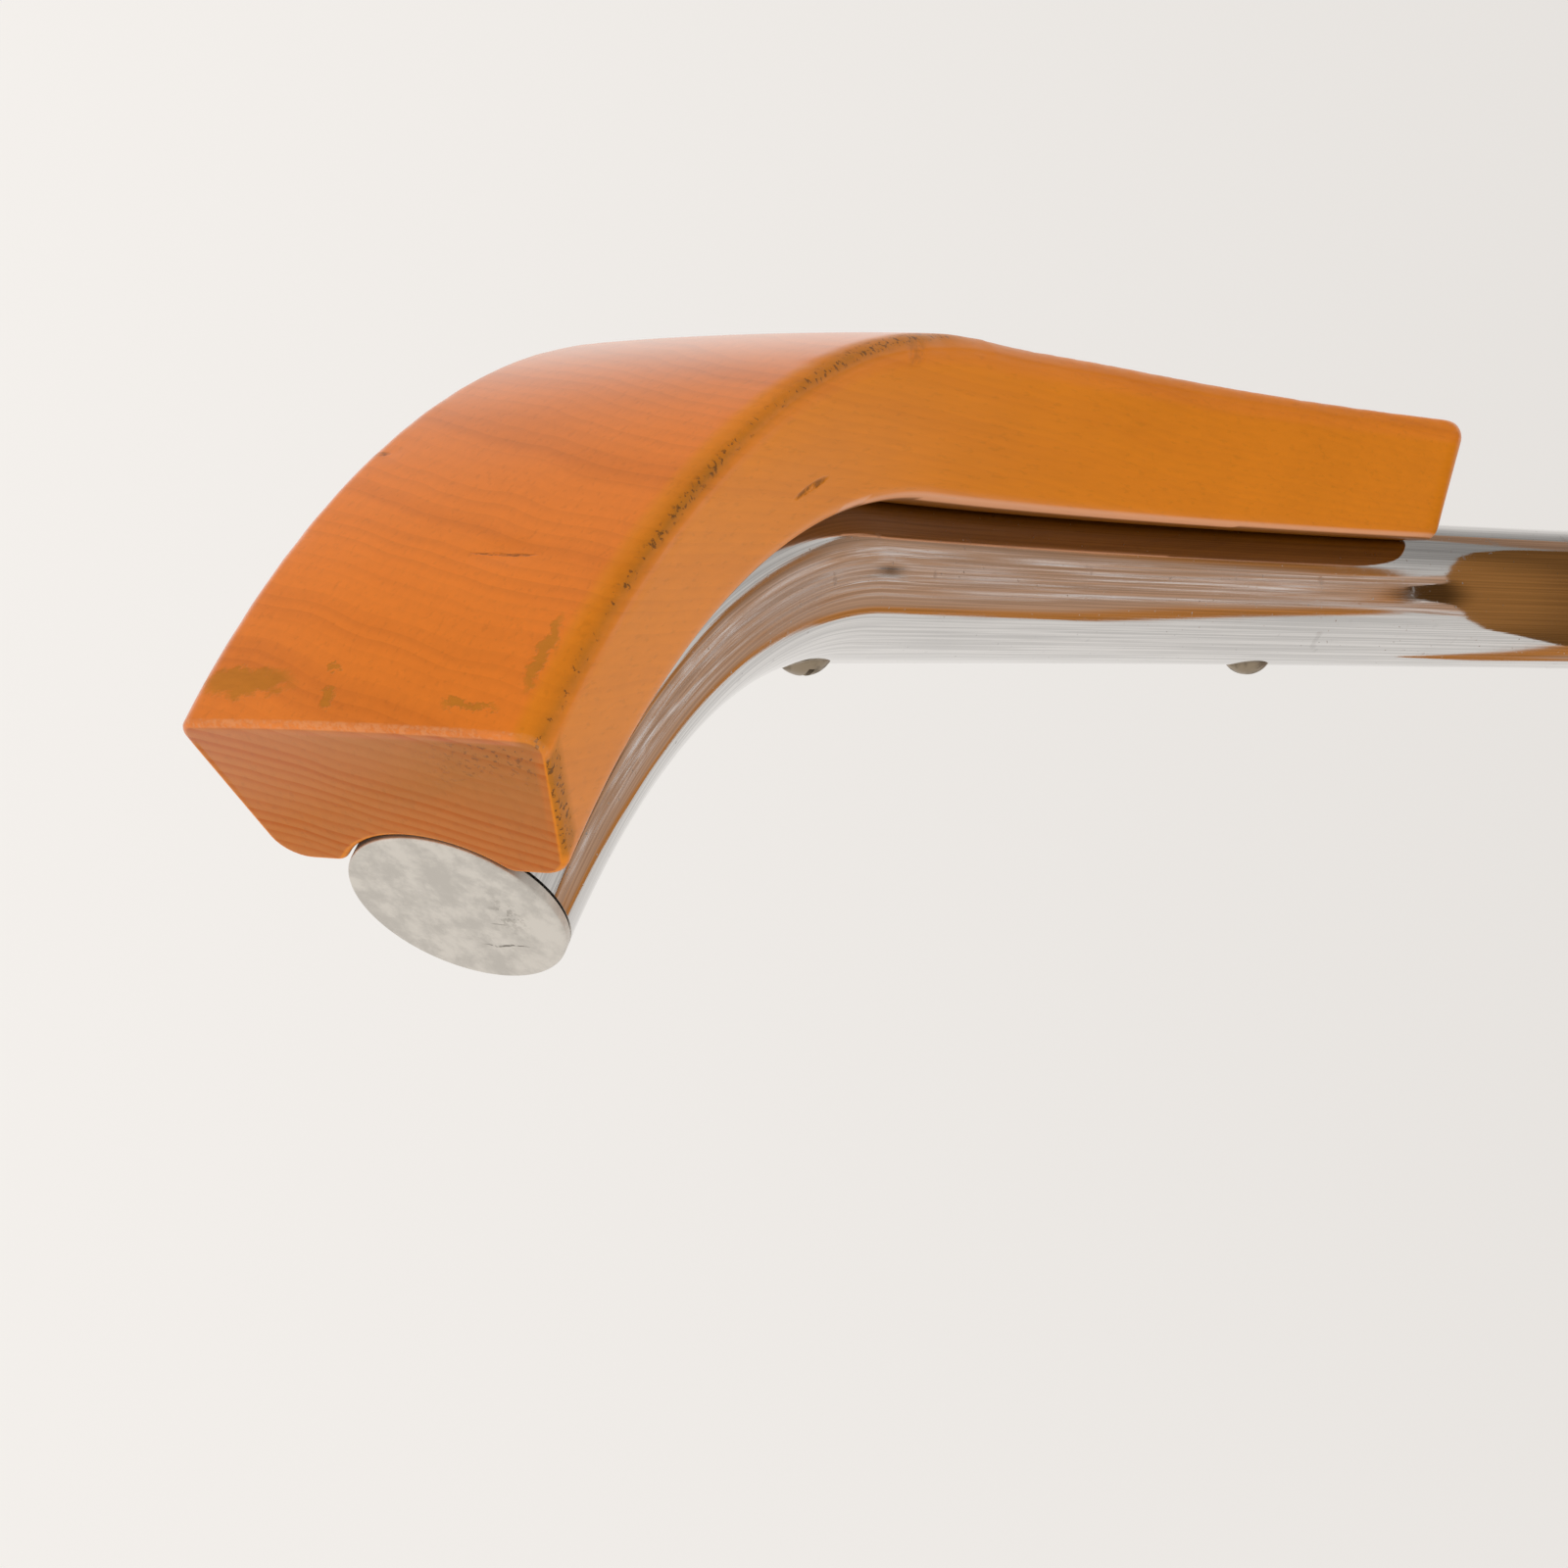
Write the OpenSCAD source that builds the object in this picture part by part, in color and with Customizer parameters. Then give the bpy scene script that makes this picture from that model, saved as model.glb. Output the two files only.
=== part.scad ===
// Fixed armrest of a chair: a shaped wooden pad on a bent chromed tube.
// X runs from the drooping front end (minus) to the back, Y points away from the chair, Z is up.
// The origin is the middle of the mounting face at the back end of the tube.

/* [Tube] */
// Outside diameter of the tube
tube_d = 25; // [22:0.5:28]
// Wall thickness of the tube
tube_wall = 2; // [1.5:0.1:2.5]
// Radius of the front bend, at the tube's axis
drop_r = 106; // [95:1:125]
// Angle through which the front bend turns down
drop_angle = 49.6; // [40:0.1:60]
// Radius of the long sideways sweep, seen from above
sweep_r = 320; // [320:5:400]
// Radius of the tight bend behind the sweep
elbow_r = 60; // [55:5:80]
// Straight length behind the tight bend, up to the hub's mouth
tail_len = 10; // [6:1:30]
// Place of the drain hole along the sweep
drain_at = 196; // [185:1:199]
// Diameter of the drain hole
drain_d = 3; // [2:0.5:4]

/* [Pad] */
// Distance of the upper edge on the chair's side from the tube's middle
pad_near_top = 26.8; // [25:0.1:29]
// Distance of the lower edge on the chair's side from the tube's middle
pad_near_under = 17.8; // [17:0.1:20]
// Distance of the outer upper edge from the tube's middle
pad_far_top = 21.6; // [20.5:0.1:24]
// Distance of the outer lower edge from the tube's middle
pad_far_under = 20.4; // [18:0.1:20.5]
// Height of the upper face above the tube's axis
pad_top_h = 30.6; // [28:0.1:34]
// Height of the underside above the tube's axis
pad_under_h = 8.6; // [8:0.1:10.5]
// Radius of the pad's upper long edges
pad_edge_r = 2.4; // [1:0.1:3.5]
// Radius of the pad's lower long edges
pad_low_r = 4; // [2:0.1:4.5]
// Length of the pad behind the front bend, at the upper face
pad_back_len = 148; // [140:1:152]
// Lean of the pad's back end from upright
pad_back_lean = 16; // [0:1:25]
// Radius of the upright corners of the pad's back end
pad_corner_r = 9; // [4:0.5:11]
// Fall of the upper face towards the back end
pad_fall = 1; // [0:0.05:1.5]
// Gap between the tube and its groove in the pad
groove_gap = 0.3; // [0.2:0.1:0.6]

/* [Pad fastening] */
// Place of the front screw along the tube, behind the front bend
front_screw_at = 0; // [0:0.5:4]
// Place of the back screw along the tube
back_screw_at = 122; // [110:1:124]
// Diameter of the screw's thread
screw_d = 4; // [3:0.5:5]
// Diameter of the screw's head
screw_head_d = 7.4; // [6.5:0.1:8.5]
// Height of the domed head
screw_head_h = 2.1; // [1.6:0.1:2.4]

/* [Mounting flange] */
// Diameter of the flange and its gasket
flange_d = 66; // [64:1:76]
// Thickness of the flange plate
flange_t = 5; // [4:0.5:8]
// Thickness of the rubber gasket
gasket_t = 2; // [1:0.5:3]
// Diameter of the circle through the bolt holes
bolt_circle_d = 50; // [49:0.5:52]
// Diameter of each bolt hole
bolt_hole_d = 6.6; // [5.5:0.1:7]
// Number of bolt holes
bolt_count = 4; // [3:1:6]
// Outside diameter of the hub
hub_d = 33; // [31:0.5:34]
// Height of the hub above the plate
hub_h = 15; // [12:1:20]

/* [Hidden] */
$fn = 96;

chrome = "silver";
honey = "sandybrown";
steel = "lightslategray";
brass = "goldenrod";
nylon = "ivory";
rubber = "dimgray";

tube_r = tube_d / 2;
bore_r = tube_r - tube_wall;
slip = 0.1;            // gap between two pieces that slide together
disc_t = 1.6;          // thickness of the plate that closes the front end
disc_seam = 0.15;      // gap between that plate and the tube
pin_r = 3;             // pin behind the plate, pressed into the plug
pin_len = 4;
plug_len = 5;
pad_ahead = disc_t;    // distance of the pad's front face ahead of the tube's end
insert_d = 7;
insert_len = 11;
crush_d = 8;
head_seat = 0.5;       // depth of the flat seat below the tube's lowest line
slot_w = 0.9;
slot_depth = 0.9;
grub_d = 5;            // headless screws of the hub
ring_cord = 2.4;       // thickness of the rubber ring in the hub's mouth
big = 400;

// The sweep turns by the angle of a 3-4-5 triangle, so that its end has round coordinates.
sweep_angle = acos(0.8);
elbow_angle = 90 - sweep_angle;
elbow_x = (sweep_r - elbow_r) * 0.6;
elbow_y = -sweep_r + (sweep_r - elbow_r) * 0.8;
tail_x = elbow_x + elbow_r;
tail_y = elbow_y - tail_len - hub_h;
origin = [tail_x, tail_y - flange_t - gasket_t, 0];

// Everything is drawn from the start of the front bend, then moved so that the mounting face is at the origin.
module placed() {
    translate(-origin) children();
}

// Puts a shape drawn around Z at a distance along the sweep, turned to the tube's direction there.
module on_sweep(len) {
    translate([0, -sweep_r, 0]) rotate([0, 0, -len / sweep_r * 180 / PI]) translate([0, sweep_r, 0]) children();
}

// The long sweep, from a section with x outwards and y up.
module sweep_part(angle) {
    translate([0, -sweep_r, 0]) rotate([0, 0, 90]) rotate_extrude(angle = -angle, $fn = 360)
        translate([sweep_r, 0]) children();
}

// The front bend, from a section with x outwards and y up.
module drop_part(angle) {
    translate([0, 0, -drop_r]) rotate([90, 0, 0]) rotate([0, 0, 90]) rotate_extrude(angle = angle, $fn = 360)
        translate([drop_r, 0]) rotate([0, 0, -90]) children();
}

// The tight bend and the straight tail behind it, from a round section.
module elbow_part() {
    translate([elbow_x, elbow_y, 0]) {
        rotate_extrude(angle = elbow_angle, $fn = 360) translate([elbow_r, 0]) children();
        translate([elbow_r, 0, 0]) rotate([90, 0, 0]) linear_extrude(tail_len + hub_h - slip) children();
    }
}

// Moves a shape to the tube's front end, with Z pointing out of the end and X up the end face.
module at_nose() {
    translate([0, 0, -drop_r]) rotate([0, -drop_angle, 0]) translate([0, 0, drop_r]) rotate([0, -90, 0]) children();
}

module ring(outer_r, inner_r) {
    difference() {
        circle(outer_r);
        circle(inner_r);
    }
}

function lean_of(top, under) = atan2(top - under, pad_top_h - pad_under_h);

// Half of the pad's outline across the tube, with x outwards and y up. Its corners are round.
module pad_half(top, under) {
    lean = lean_of(top, under);
    x_top = top - pad_edge_r * tan(45 + lean / 2);
    x_under = under - pad_low_r * tan(45 - lean / 2);
    y_top = pad_top_h - pad_edge_r;
    y_under = pad_under_h + pad_low_r;
    polygon([[0, pad_top_h], [x_top, pad_top_h],
             [x_top + pad_edge_r * cos(lean), y_top - pad_edge_r * sin(lean)],
             [x_under + pad_low_r * cos(lean), y_under - pad_low_r * sin(lean)],
             [x_under, pad_under_h], [0, pad_under_h]]);
    translate([x_top, y_top]) circle(pad_edge_r);
    translate([x_under, y_under]) circle(pad_low_r);
}

// Whole outline across the tube. The side towards the chair leans more than the outer one.
module pad_section() {
    pad_half(pad_far_top, pad_far_under);
    mirror([1, 0]) pad_half(pad_near_top, pad_near_under);
}

// Waste outside a round upright corner at the pad's back end. Side is 1 outside and -1 on the chair's side.
module corner_waste(top, under, side) {
    on_sweep(pad_back_len) translate([0, side * top, pad_top_h])
        rotate([-side * lean_of(top, under), -pad_back_lean, 0])
            translate([-pad_corner_r, -side * pad_corner_r, -60]) difference() {
                translate([0, side > 0 ? 0 : -pad_corner_r - 6, 0]) cube([pad_corner_r + 6, pad_corner_r + 6, 80]);
                translate([0, 0, -1]) cylinder(h = 82, r = pad_corner_r);
            }
}

module arm_pad() {
    // The front face stands level with the end disc; the back is cut from a longer sweep.
    front_angle = drop_angle + pad_ahead / drop_r * 180 / PI;
    back_angle = (pad_back_len + 20) / sweep_r * 180 / PI;
    color(honey) placed() difference() {
        union() {
            drop_part(front_angle) pad_section();
            sweep_part(back_angle) pad_section();
        }
        drop_part(drop_angle + 5) circle(tube_r + groove_gap);
        sweep_part(back_angle + 5) circle(tube_r + groove_gap);
        // Upper face falls gently towards the back.
        translate([0, -big / 2, pad_top_h]) rotate([0, pad_fall, 0]) cube([big, big, 20]);
        // Back end leans, with its lower edge further back.
        on_sweep(pad_back_len) translate([0, -big / 2, pad_top_h]) rotate([0, -pad_back_lean, 0])
            translate([0, 0, -60]) cube([80, big, 120]);
        corner_waste(pad_far_top, pad_far_under, 1);
        corner_waste(pad_near_top, pad_near_under, -1);
        for (at = [front_screw_at, back_screw_at]) {
            on_sweep(at) cylinder(h = tube_r + insert_len + 1, d = insert_d);
        }
    }
}

module pad_inserts() {
    color(brass) placed() for (at = [front_screw_at, back_screw_at]) {
        on_sweep(at) translate([0, 0, tube_r + 0.4]) difference() {
            cylinder(h = insert_len, d = insert_d - slip);
            translate([0, 0, -1]) cylinder(h = insert_len + 2, d = screw_d + slip);
        }
    }
}

// Slotted screw with a domed head, head down, its seat at z = 0.
module slotted_screw(len) {
    dome_r = (pow(screw_head_d / 2, 2) + pow(screw_head_h, 2)) / (2 * screw_head_h);
    cylinder(h = len, d = screw_d);
    difference() {
        intersection() {
            translate([0, 0, dome_r - screw_head_h]) sphere(dome_r);
            translate([0, 0, -screw_head_h - 1]) cylinder(h = screw_head_h + 1, d = screw_head_d + 2);
        }
        translate([-screw_head_d, -slot_w / 2, -screw_head_h - 1]) cube([2 * screw_head_d, slot_w, slot_depth + 1]);
    }
}

module pad_screws() {
    screw_len = tube_d - head_seat + insert_len - 1;
    color(steel) placed() for (at = [front_screw_at, back_screw_at]) {
        on_sweep(at) translate([0, 0, head_seat - tube_r]) rotate([0, 0, 55]) slotted_screw(screw_len);
    }
}

module crush_sleeves() {
    // The sleeve stops where its edge would meet the tube's inner wall.
    half_len = sqrt(pow(bore_r, 2) - pow(crush_d / 2, 2)) - slip;
    color(steel) placed() for (at = [front_screw_at, back_screw_at]) {
        on_sweep(at) difference() {
            translate([0, 0, -half_len]) cylinder(h = 2 * half_len, d = crush_d);
            cylinder(h = 2 * tube_d, d = screw_d + 4 * slip, center = true);
        }
    }
}

// Hole through both walls, and the flat seat for a screw head underneath.
module screw_way(at) {
    on_sweep(at) {
        cylinder(h = 2 * tube_d, d = screw_d + 4 * slip, center = true);
        translate([0, 0, -tube_r - 3]) cylinder(h = head_seat + 3, d = screw_head_d + 2 * slip);
    }
}

module arm_tube() {
    color(chrome) placed() difference() {
        union() {
            drop_part(drop_angle) ring(tube_r, bore_r);
            sweep_part(sweep_angle) ring(tube_r, bore_r);
            elbow_part() ring(tube_r, bore_r);
        }
        screw_way(front_screw_at);
        screw_way(back_screw_at);
        on_sweep(drain_at) translate([0, 0, -tube_d]) cylinder(h = tube_d, d = drain_d);
    }
}

module end_plug() {
    color(nylon) placed() at_nose() difference() {
        translate([0, 0, -plug_len]) cylinder(h = plug_len, r = bore_r - 2 * slip);
        translate([0, 0, -pin_len - 0.5]) cylinder(h = pin_len + 2, r = pin_r + slip / 2);
    }
}

module end_disc() {
    color(chrome) placed() at_nose() {
        translate([0, 0, disc_seam]) cylinder(h = disc_t, r = tube_r);
        translate([0, 0, -pin_len]) cylinder(h = pin_len + disc_seam + disc_t / 2, r = pin_r);
    }
}

// Stands a shape drawn around Z on the mounting face, with Z along the row's +Y.
module on_face(height) {
    translate([0, height, 0]) rotate([-90, 0, 0]) children();
}

// Bolt holes through the flange and the gasket.
module bolt_holes() {
    for (i = [0:bolt_count - 1]) {
        rotate([0, 45 + i * 360 / bolt_count, 0]) translate([bolt_circle_d / 2, 0, 0])
            on_face(-1) cylinder(h = gasket_t + flange_t + 2, d = bolt_hole_d);
    }
}

// Puts a shape drawn around Z at each of the hub's two screws: one below, one at the back.
module at_hub_screws() {
    for (turn = [180, 90]) {
        translate([0, gasket_t + flange_t + hub_h / 2 - 1, 0]) rotate([0, turn, 0]) children();
    }
}

module rear_flange() {
    mouth = gasket_t + flange_t + hub_h;
    color(chrome) difference() {
        union() {
            on_face(gasket_t) cylinder(h = flange_t, d = flange_d);
            on_face(gasket_t) cylinder(h = flange_t + hub_h, d = hub_d);
        }
        on_face(gasket_t + flange_t) cylinder(h = hub_h + 1, r = tube_r + slip);
        on_face(mouth - ring_cord) cylinder(h = ring_cord + 1, r = tube_r + ring_cord);
        bolt_holes();
        at_hub_screws() cylinder(h = hub_d, d = grub_d + slip);
    }
}

module hub_ring() {
    mouth = gasket_t + flange_t + hub_h;
    color(rubber) on_face(mouth - ring_cord / 2) rotate_extrude()
        translate([tube_r + ring_cord / 2, 0]) circle(ring_cord / 2 - 0.02);
}

// Headless screw whose slotted end faces away from the tube.
module hub_screws() {
    len = hub_d / 2 - tube_r - 0.4;
    color(steel) at_hub_screws() translate([0, 0, tube_r + slip]) difference() {
        cylinder(h = len, d = grub_d);
        translate([-grub_d, -slot_w / 2, len - slot_depth]) cube([2 * grub_d, slot_w, slot_depth + 1]);
    }
}

module flange_gasket() {
    color(rubber) difference() {
        on_face(0) cylinder(h = gasket_t, d = flange_d);
        bolt_holes();
    }
}

arm_pad();
pad_inserts();
pad_screws();
crush_sleeves();
arm_tube();
end_plug();
end_disc();
rear_flange();
hub_ring();
hub_screws();
flange_gasket();
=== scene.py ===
"""Looks of a chair armrest: a lacquered wooden pad on a bent chromed tube, with its fixings and rear flange.

Laid out as an add-on: each piece has its own operator, and the sidebar panel lists them and their sizes.
"""

import functools
import math

import bmesh
import bpy
import numpy as np
from mathutils import Matrix, Vector, noise


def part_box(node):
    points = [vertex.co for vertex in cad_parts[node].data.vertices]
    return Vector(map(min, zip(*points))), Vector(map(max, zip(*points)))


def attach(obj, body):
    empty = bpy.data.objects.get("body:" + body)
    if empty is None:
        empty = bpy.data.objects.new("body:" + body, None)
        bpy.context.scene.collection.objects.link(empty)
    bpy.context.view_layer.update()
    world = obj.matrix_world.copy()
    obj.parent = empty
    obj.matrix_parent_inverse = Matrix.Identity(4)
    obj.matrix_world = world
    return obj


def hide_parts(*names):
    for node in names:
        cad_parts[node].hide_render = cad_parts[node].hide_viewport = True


bl_info = {
    "name": "Armrest with a wooden pad",
    "version": (1, 0, 0),
    "blender": (4, 5, 0),
    "location": "3D View > Sidebar > Armrest",
    "description": "Builds the pad, the chromed tube and the fixings of a chair armrest on its packed frame",
    "category": "Object",
}

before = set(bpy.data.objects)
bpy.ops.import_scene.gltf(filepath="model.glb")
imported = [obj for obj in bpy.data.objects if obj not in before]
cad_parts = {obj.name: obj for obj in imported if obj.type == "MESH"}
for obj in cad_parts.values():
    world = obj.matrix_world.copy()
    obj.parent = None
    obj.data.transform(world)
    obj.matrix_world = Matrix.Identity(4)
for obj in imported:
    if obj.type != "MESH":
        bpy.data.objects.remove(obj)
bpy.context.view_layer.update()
BODY = "root"
MM = 0.001


# ---- Sizes and colours that a user would change ----


def length(name, description, default):
    return bpy.props.FloatProperty(
        name=name, description=description, default=default, unit="LENGTH", precision=4
    )


def angle(name, description, degrees):
    return bpy.props.FloatProperty(
        name=name, description=description, default=math.radians(degrees), unit="ROTATION", subtype="ANGLE"
    )


def colour(name, description, default):
    return bpy.props.FloatVectorProperty(
        name=name, description=description, default=default, subtype="COLOR", size=3, min=0.0, max=1.0
    )


class TubeSizes(bpy.types.PropertyGroup):
    """The bent tube's path and wall."""

    radius: length("Tube radius", "Outside radius of the tube", 12.5 * MM)
    wall: length("Wall", "Thickness of the tube's wall", 2 * MM)
    drop_radius: length("Front bend", "Radius of the front bend at the tube's axis", 106 * MM)
    drop_angle: angle("Front bend angle", "Angle through which the front bend turns down", 49.6)
    sweep_radius: length("Sweep", "Radius of the long sideways sweep", 320 * MM)
    elbow_radius: length("Tight bend", "Radius of the bend behind the sweep", 60 * MM)
    screw_step: length("Screw spacing", "Distance between the pad's two screws along the tube", 122 * MM)
    drain_place: length("Drain hole place", "Place of the drain hole along the sweep", 196 * MM)
    drain_width: length("Drain hole", "Diameter of the drain hole", 3 * MM)


class PadSizes(bpy.types.PropertyGroup):
    """The wooden pad's outline, measured from the tube's axis."""

    top: length("Top", "Height of the pad's upper face above the tube's axis", 30.6 * MM)
    under: length("Underside", "Height of the underside above the tube's axis, behind the front bend", 9 * MM)
    under_front: length("Underside in front", "Height of the underside at the front end", 7.5 * MM)
    crown: length("Crown", "Rise of the middle of the upper face above its edges", 0.5 * MM)
    fall: bpy.props.FloatProperty(name="Fall", description="Fall of the top towards the back", default=0.0173)
    ease: length("Ease", "How much the upper face is eased where the bend meets the straight run", 1.1 * MM)
    end_place: length("Back end", "Place of the back end along the upper face", 148 * MM)
    end_lean: angle("Back lean", "Lean of the back end from upright", 16)
    end_round: length("Back rounding", "Radius of the back end's upright corners", 9 * MM)
    groove: length("Groove", "Radius of the groove for the tube", 12.8 * MM)
    top_edge: length("Top edge", "Radius of the upper long edges", 2.2 * MM)
    low_edge: length("Lower edge", "Radius of the lower long edges", 4 * MM)


class FixingSizes(bpy.types.PropertyGroup):
    """The screws, the end disc and the rear flange."""

    head_radius: length("Screw head", "Radius of the domed screw heads", 3.7 * MM)
    head_rise: length("Head rise", "Height of the domed screw heads", 2.1 * MM)
    slot_width: length("Slot width", "Width of a screw's slot", 0.9 * MM)
    disc_plate: length("Disc plate", "Thickness of the plate that closes the tube", 1.6 * MM)
    disc_seam: length("Disc seam", "Gap between the plate and the tube's end", 0.15 * MM)
    disc_round: length("Disc edge", "Radius of the plate's edge", 0.45 * MM)
    flange_plate: length("Flange plate", "Thickness of the flange plate", 5 * MM)
    bolt_circle: length("Bolt circle", "Radius of the circle through the bolt holes", 25 * MM)
    bolt_hole: length("Bolt hole", "Radius of a bolt hole", 3.3 * MM)


class WoodFinish(bpy.types.PropertyGroup):
    """Colours of the lacquered wood."""

    top: colour("Upper face", "Stained and lacquered upper face", (0.83, 0.215, 0.017))
    side: colour("Sides", "Sides of the pad", (0.82, 0.255, 0.014))
    end: colour("End grain", "End faces, where the growth rings show", (0.56, 0.18, 0.035))
    ring: colour("Ring", "Darker late wood of a growth ring", (0.5, 0.115, 0.008))
    worn: colour("Worn lacquer", "Old varnish where the stain has worn off", (0.5, 0.21, 0.02))
    grime: colour("Grime", "Dark wear along the edges and in dents", (0.09, 0.045, 0.015))
    ring_step: length("Ring spacing", "Distance between growth rings", 1.25 * MM)


class MetalFinish(bpy.types.PropertyGroup):
    """Colours of the metal pieces."""

    chrome: colour("Chrome", "Chrome plate on the tube and the flange", (0.7, 0.69, 0.68))
    disc: colour("Disc", "Satin plate of the end disc", (0.7, 0.665, 0.61))
    screw: colour("Screws", "Dulled plate of the screws", (0.3, 0.24, 0.17))


class StageSizes(bpy.types.PropertyGroup):
    """The camera, the studio and what the chrome mirrors."""

    lens: bpy.props.FloatProperty(name="Lens", description="Focal length", default=64.74, unit="CAMERA")
    ahead: length("Camera ahead", "Distance of the camera in front of the front bend's start", 334.3 * MM)
    aside: length("Camera aside", "Distance of the camera towards the chair from there", 166.9 * MM)
    below: length("Camera below", "Distance of the camera below the tube's axis", 7.2 * MM)
    turn: angle("Camera turn", "Turn of the view from straight across towards the back", 63.14)
    pitch: angle("Camera pitch", "Downward tilt of the view", 3.26)
    roll: angle("Camera roll", "Roll of the view", 1.19)
    floor: length("Floor depth", "Depth of the studio floor below the arm", 0.65)
    pale: colour("Studio", "Colour of the floor and the backdrop", (0.88, 0.852, 0.822))
    # The shell's colours glow on cards that stand in for the lit chair: painted light seen only in the
    # chrome.
    shell: colour("Shell", "Colour of the chair's shell, seen only in the chrome", (0.5, 0.3, 0.19))
    flank: colour("Flank", "Colour of the shell's flank, seen only in the chrome", (0.34, 0.15, 0.042))
    shell_edge: colour("Shell edge", "Colour of the shell's bare edge", (0.5, 0.2, 0.05))


GROUPS = {
    "arm_tube_sizes": TubeSizes,
    "arm_pad_sizes": PadSizes,
    "arm_fixing_sizes": FixingSizes,
    "arm_wood": WoodFinish,
    "arm_metal": MetalFinish,
    "arm_stage": StageSizes,
}


# ---- Materials ----


class Wire:
    """A number that runs between shader nodes. Sums with it add Math nodes to its board."""

    def __init__(self, board, socket):
        self.board = board
        self.socket = socket

    def math(self, operation, *terms):
        return self.board.node("ShaderNodeMath", {"operation": operation}, dict(enumerate(terms)))

    def __add__(self, other):
        return self.math("ADD", self, other)

    def __radd__(self, other):
        return self.math("ADD", other, self)

    def __sub__(self, other):
        return self.math("SUBTRACT", self, other)

    def __rsub__(self, other):
        return self.math("SUBTRACT", other, self)

    def __mul__(self, other):
        return self.math("MULTIPLY", self, other)

    def __rmul__(self, other):
        return self.math("MULTIPLY", other, self)

    def __truediv__(self, other):
        return self.math("DIVIDE", self, other)

    def __pow__(self, other):
        return self.math("POWER", self, other)

    def smooth(self, low, high):
        """0 below low and 1 above high, with a smooth step between them. A low above high turns it round."""
        start, end = (low, high) if low < high else (high, low)
        ends = (0.0, 1.0) if low < high else (1.0, 0.0)
        made = {"interpolation_type": "SMOOTHSTEP"}
        sockets = {"Value": self, "From Min": start, "From Max": end, "To Min": ends[0], "To Max": ends[1]}
        return self.board.node("ShaderNodeMapRange", made, sockets)

    def clip(self):
        return self.math("MINIMUM", self.math("MAXIMUM", self, 0.0), 1.0)

    def top(self, other):
        return self.math("MAXIMUM", self, other)


class Board:
    """A material's node tree."""

    def __init__(self, name):
        self.material = bpy.data.materials.new(name)
        self.material.use_nodes = True
        self.tree = self.material.node_tree
        self.tree.nodes.clear()

    def node(self, kind, settings=None, sockets=None, out=0):
        """Adds a node: first its settings, then its sockets' values or wires. Gives one output's wire."""
        made = self.tree.nodes.new(kind)
        for key, value in (settings or {}).items():
            setattr(made, key, value)
        for key, value in (sockets or {}).items():
            if isinstance(value, Wire):
                self.tree.links.new(value.socket, made.inputs[key])
            else:
                made.inputs[key].default_value = value
        return Wire(self, made.outputs[out])

    def attribute(self, name):
        return self.node("ShaderNodeAttribute", {"attribute_name": name}, out="Fac")

    def place(self):
        return self.node("ShaderNodeTexCoord", out="Object")

    def split(self, vector):
        made = self.node("ShaderNodeSeparateXYZ", sockets={0: vector})
        outputs = made.socket.node.outputs
        return [Wire(self, outputs[i]) for i in range(3)]

    def join(self, x, y, z):
        return self.node("ShaderNodeCombineXYZ", sockets={0: x, 1: y, 2: z})

    def noise(self, vector, scale, detail=2.0, roughness=0.5):
        sockets = {"Vector": vector, "Scale": scale, "Detail": detail, "Roughness": roughness}
        return self.node("ShaderNodeTexNoise", {"noise_dimensions": "3D"}, sockets, out="Fac")

    def mix(self, factor, first, second):
        """Mixes two colours."""
        first = first if isinstance(first, Wire) else (*first, 1.0)
        second = second if isinstance(second, Wire) else (*second, 1.0)
        made = self.tree.nodes.new("ShaderNodeMix")
        made.data_type = "RGBA"
        for index, value in ((0, factor), (6, first), (7, second)):
            if isinstance(value, Wire):
                self.tree.links.new(value.socket, made.inputs[index])
            else:
                made.inputs[index].default_value = value
        return Wire(self, made.outputs[2])

    def tint(self, colour_wire, amount):
        """Multiplies a colour by a number."""
        grey = self.join(amount, amount, amount)
        return self.node("ShaderNodeVectorMath", {"operation": "MULTIPLY"}, {0: colour_wire, 1: grey})

    def bump(self, height, strength, distance, below=None):
        sockets = {"Height": height, "Strength": strength, "Distance": distance}
        if below is not None:
            sockets["Normal"] = below
        return self.node("ShaderNodeBump", {}, sockets)

    def surface(self, **sockets):
        """Ends the tree in a Principled BSDF. Underscores in the names stand for spaces."""
        values = {key.replace("_", " "): value for key, value in sockets.items()}
        shader = self.node("ShaderNodeBsdfPrincipled", {}, values)
        self.node_output(shader)
        return self.material

    def node_output(self, shader):
        output = self.tree.nodes.new("ShaderNodeOutputMaterial")
        self.tree.links.new(shader.socket, output.inputs["Surface"])


def scaled(tone, share):
    """The same colour, darker or brighter."""
    return tuple(c * share for c in tone)


def spot(along, across, centre, size, soft=0.35):
    """1 inside an oval mark, 0 outside. Centre and half size are in millimetres, along and across."""
    u = (along - centre[0] * MM) / (size[0] * MM)
    v = (across - centre[1] * MM) / (size[1] * MM)
    distance = (u * u + v * v) ** 0.5
    return distance.smooth(1.0 + soft, 1.0 - soft)


def spots(along, across, marks, soft=0.35):
    """1 inside any of the marks, 0 outside them all."""
    found = [spot(along, across, centre, size, soft) for centre, size in marks]
    return functools.reduce(Wire.top, found)


# Marks of use on the upper face: place and half size in millimetres, along and across the pad.
WORN_PATCHES = (
    ((-88.6, 13.0), (1.5, 5.6)),
    ((-84.5, -20.3), (3.6, 0.9)),
    ((-90.3, 1.5), (0.9, 0.9)),
    ((-86.9, 3.0), (0.6, 0.7)),
    ((-90.2, -15.0), (0.5, 3.0)),
)
DENTS = (
    ((-57.6, 18.8), (0.4, 1.5)),
    ((-18.0, -26.0), (1.8, 0.8)),
    ((-73.5, -9.0), (0.16, 3.4)),
)
SIDE_DENT = ((-35.5, 15.4), (3.4, 0.5))
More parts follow.
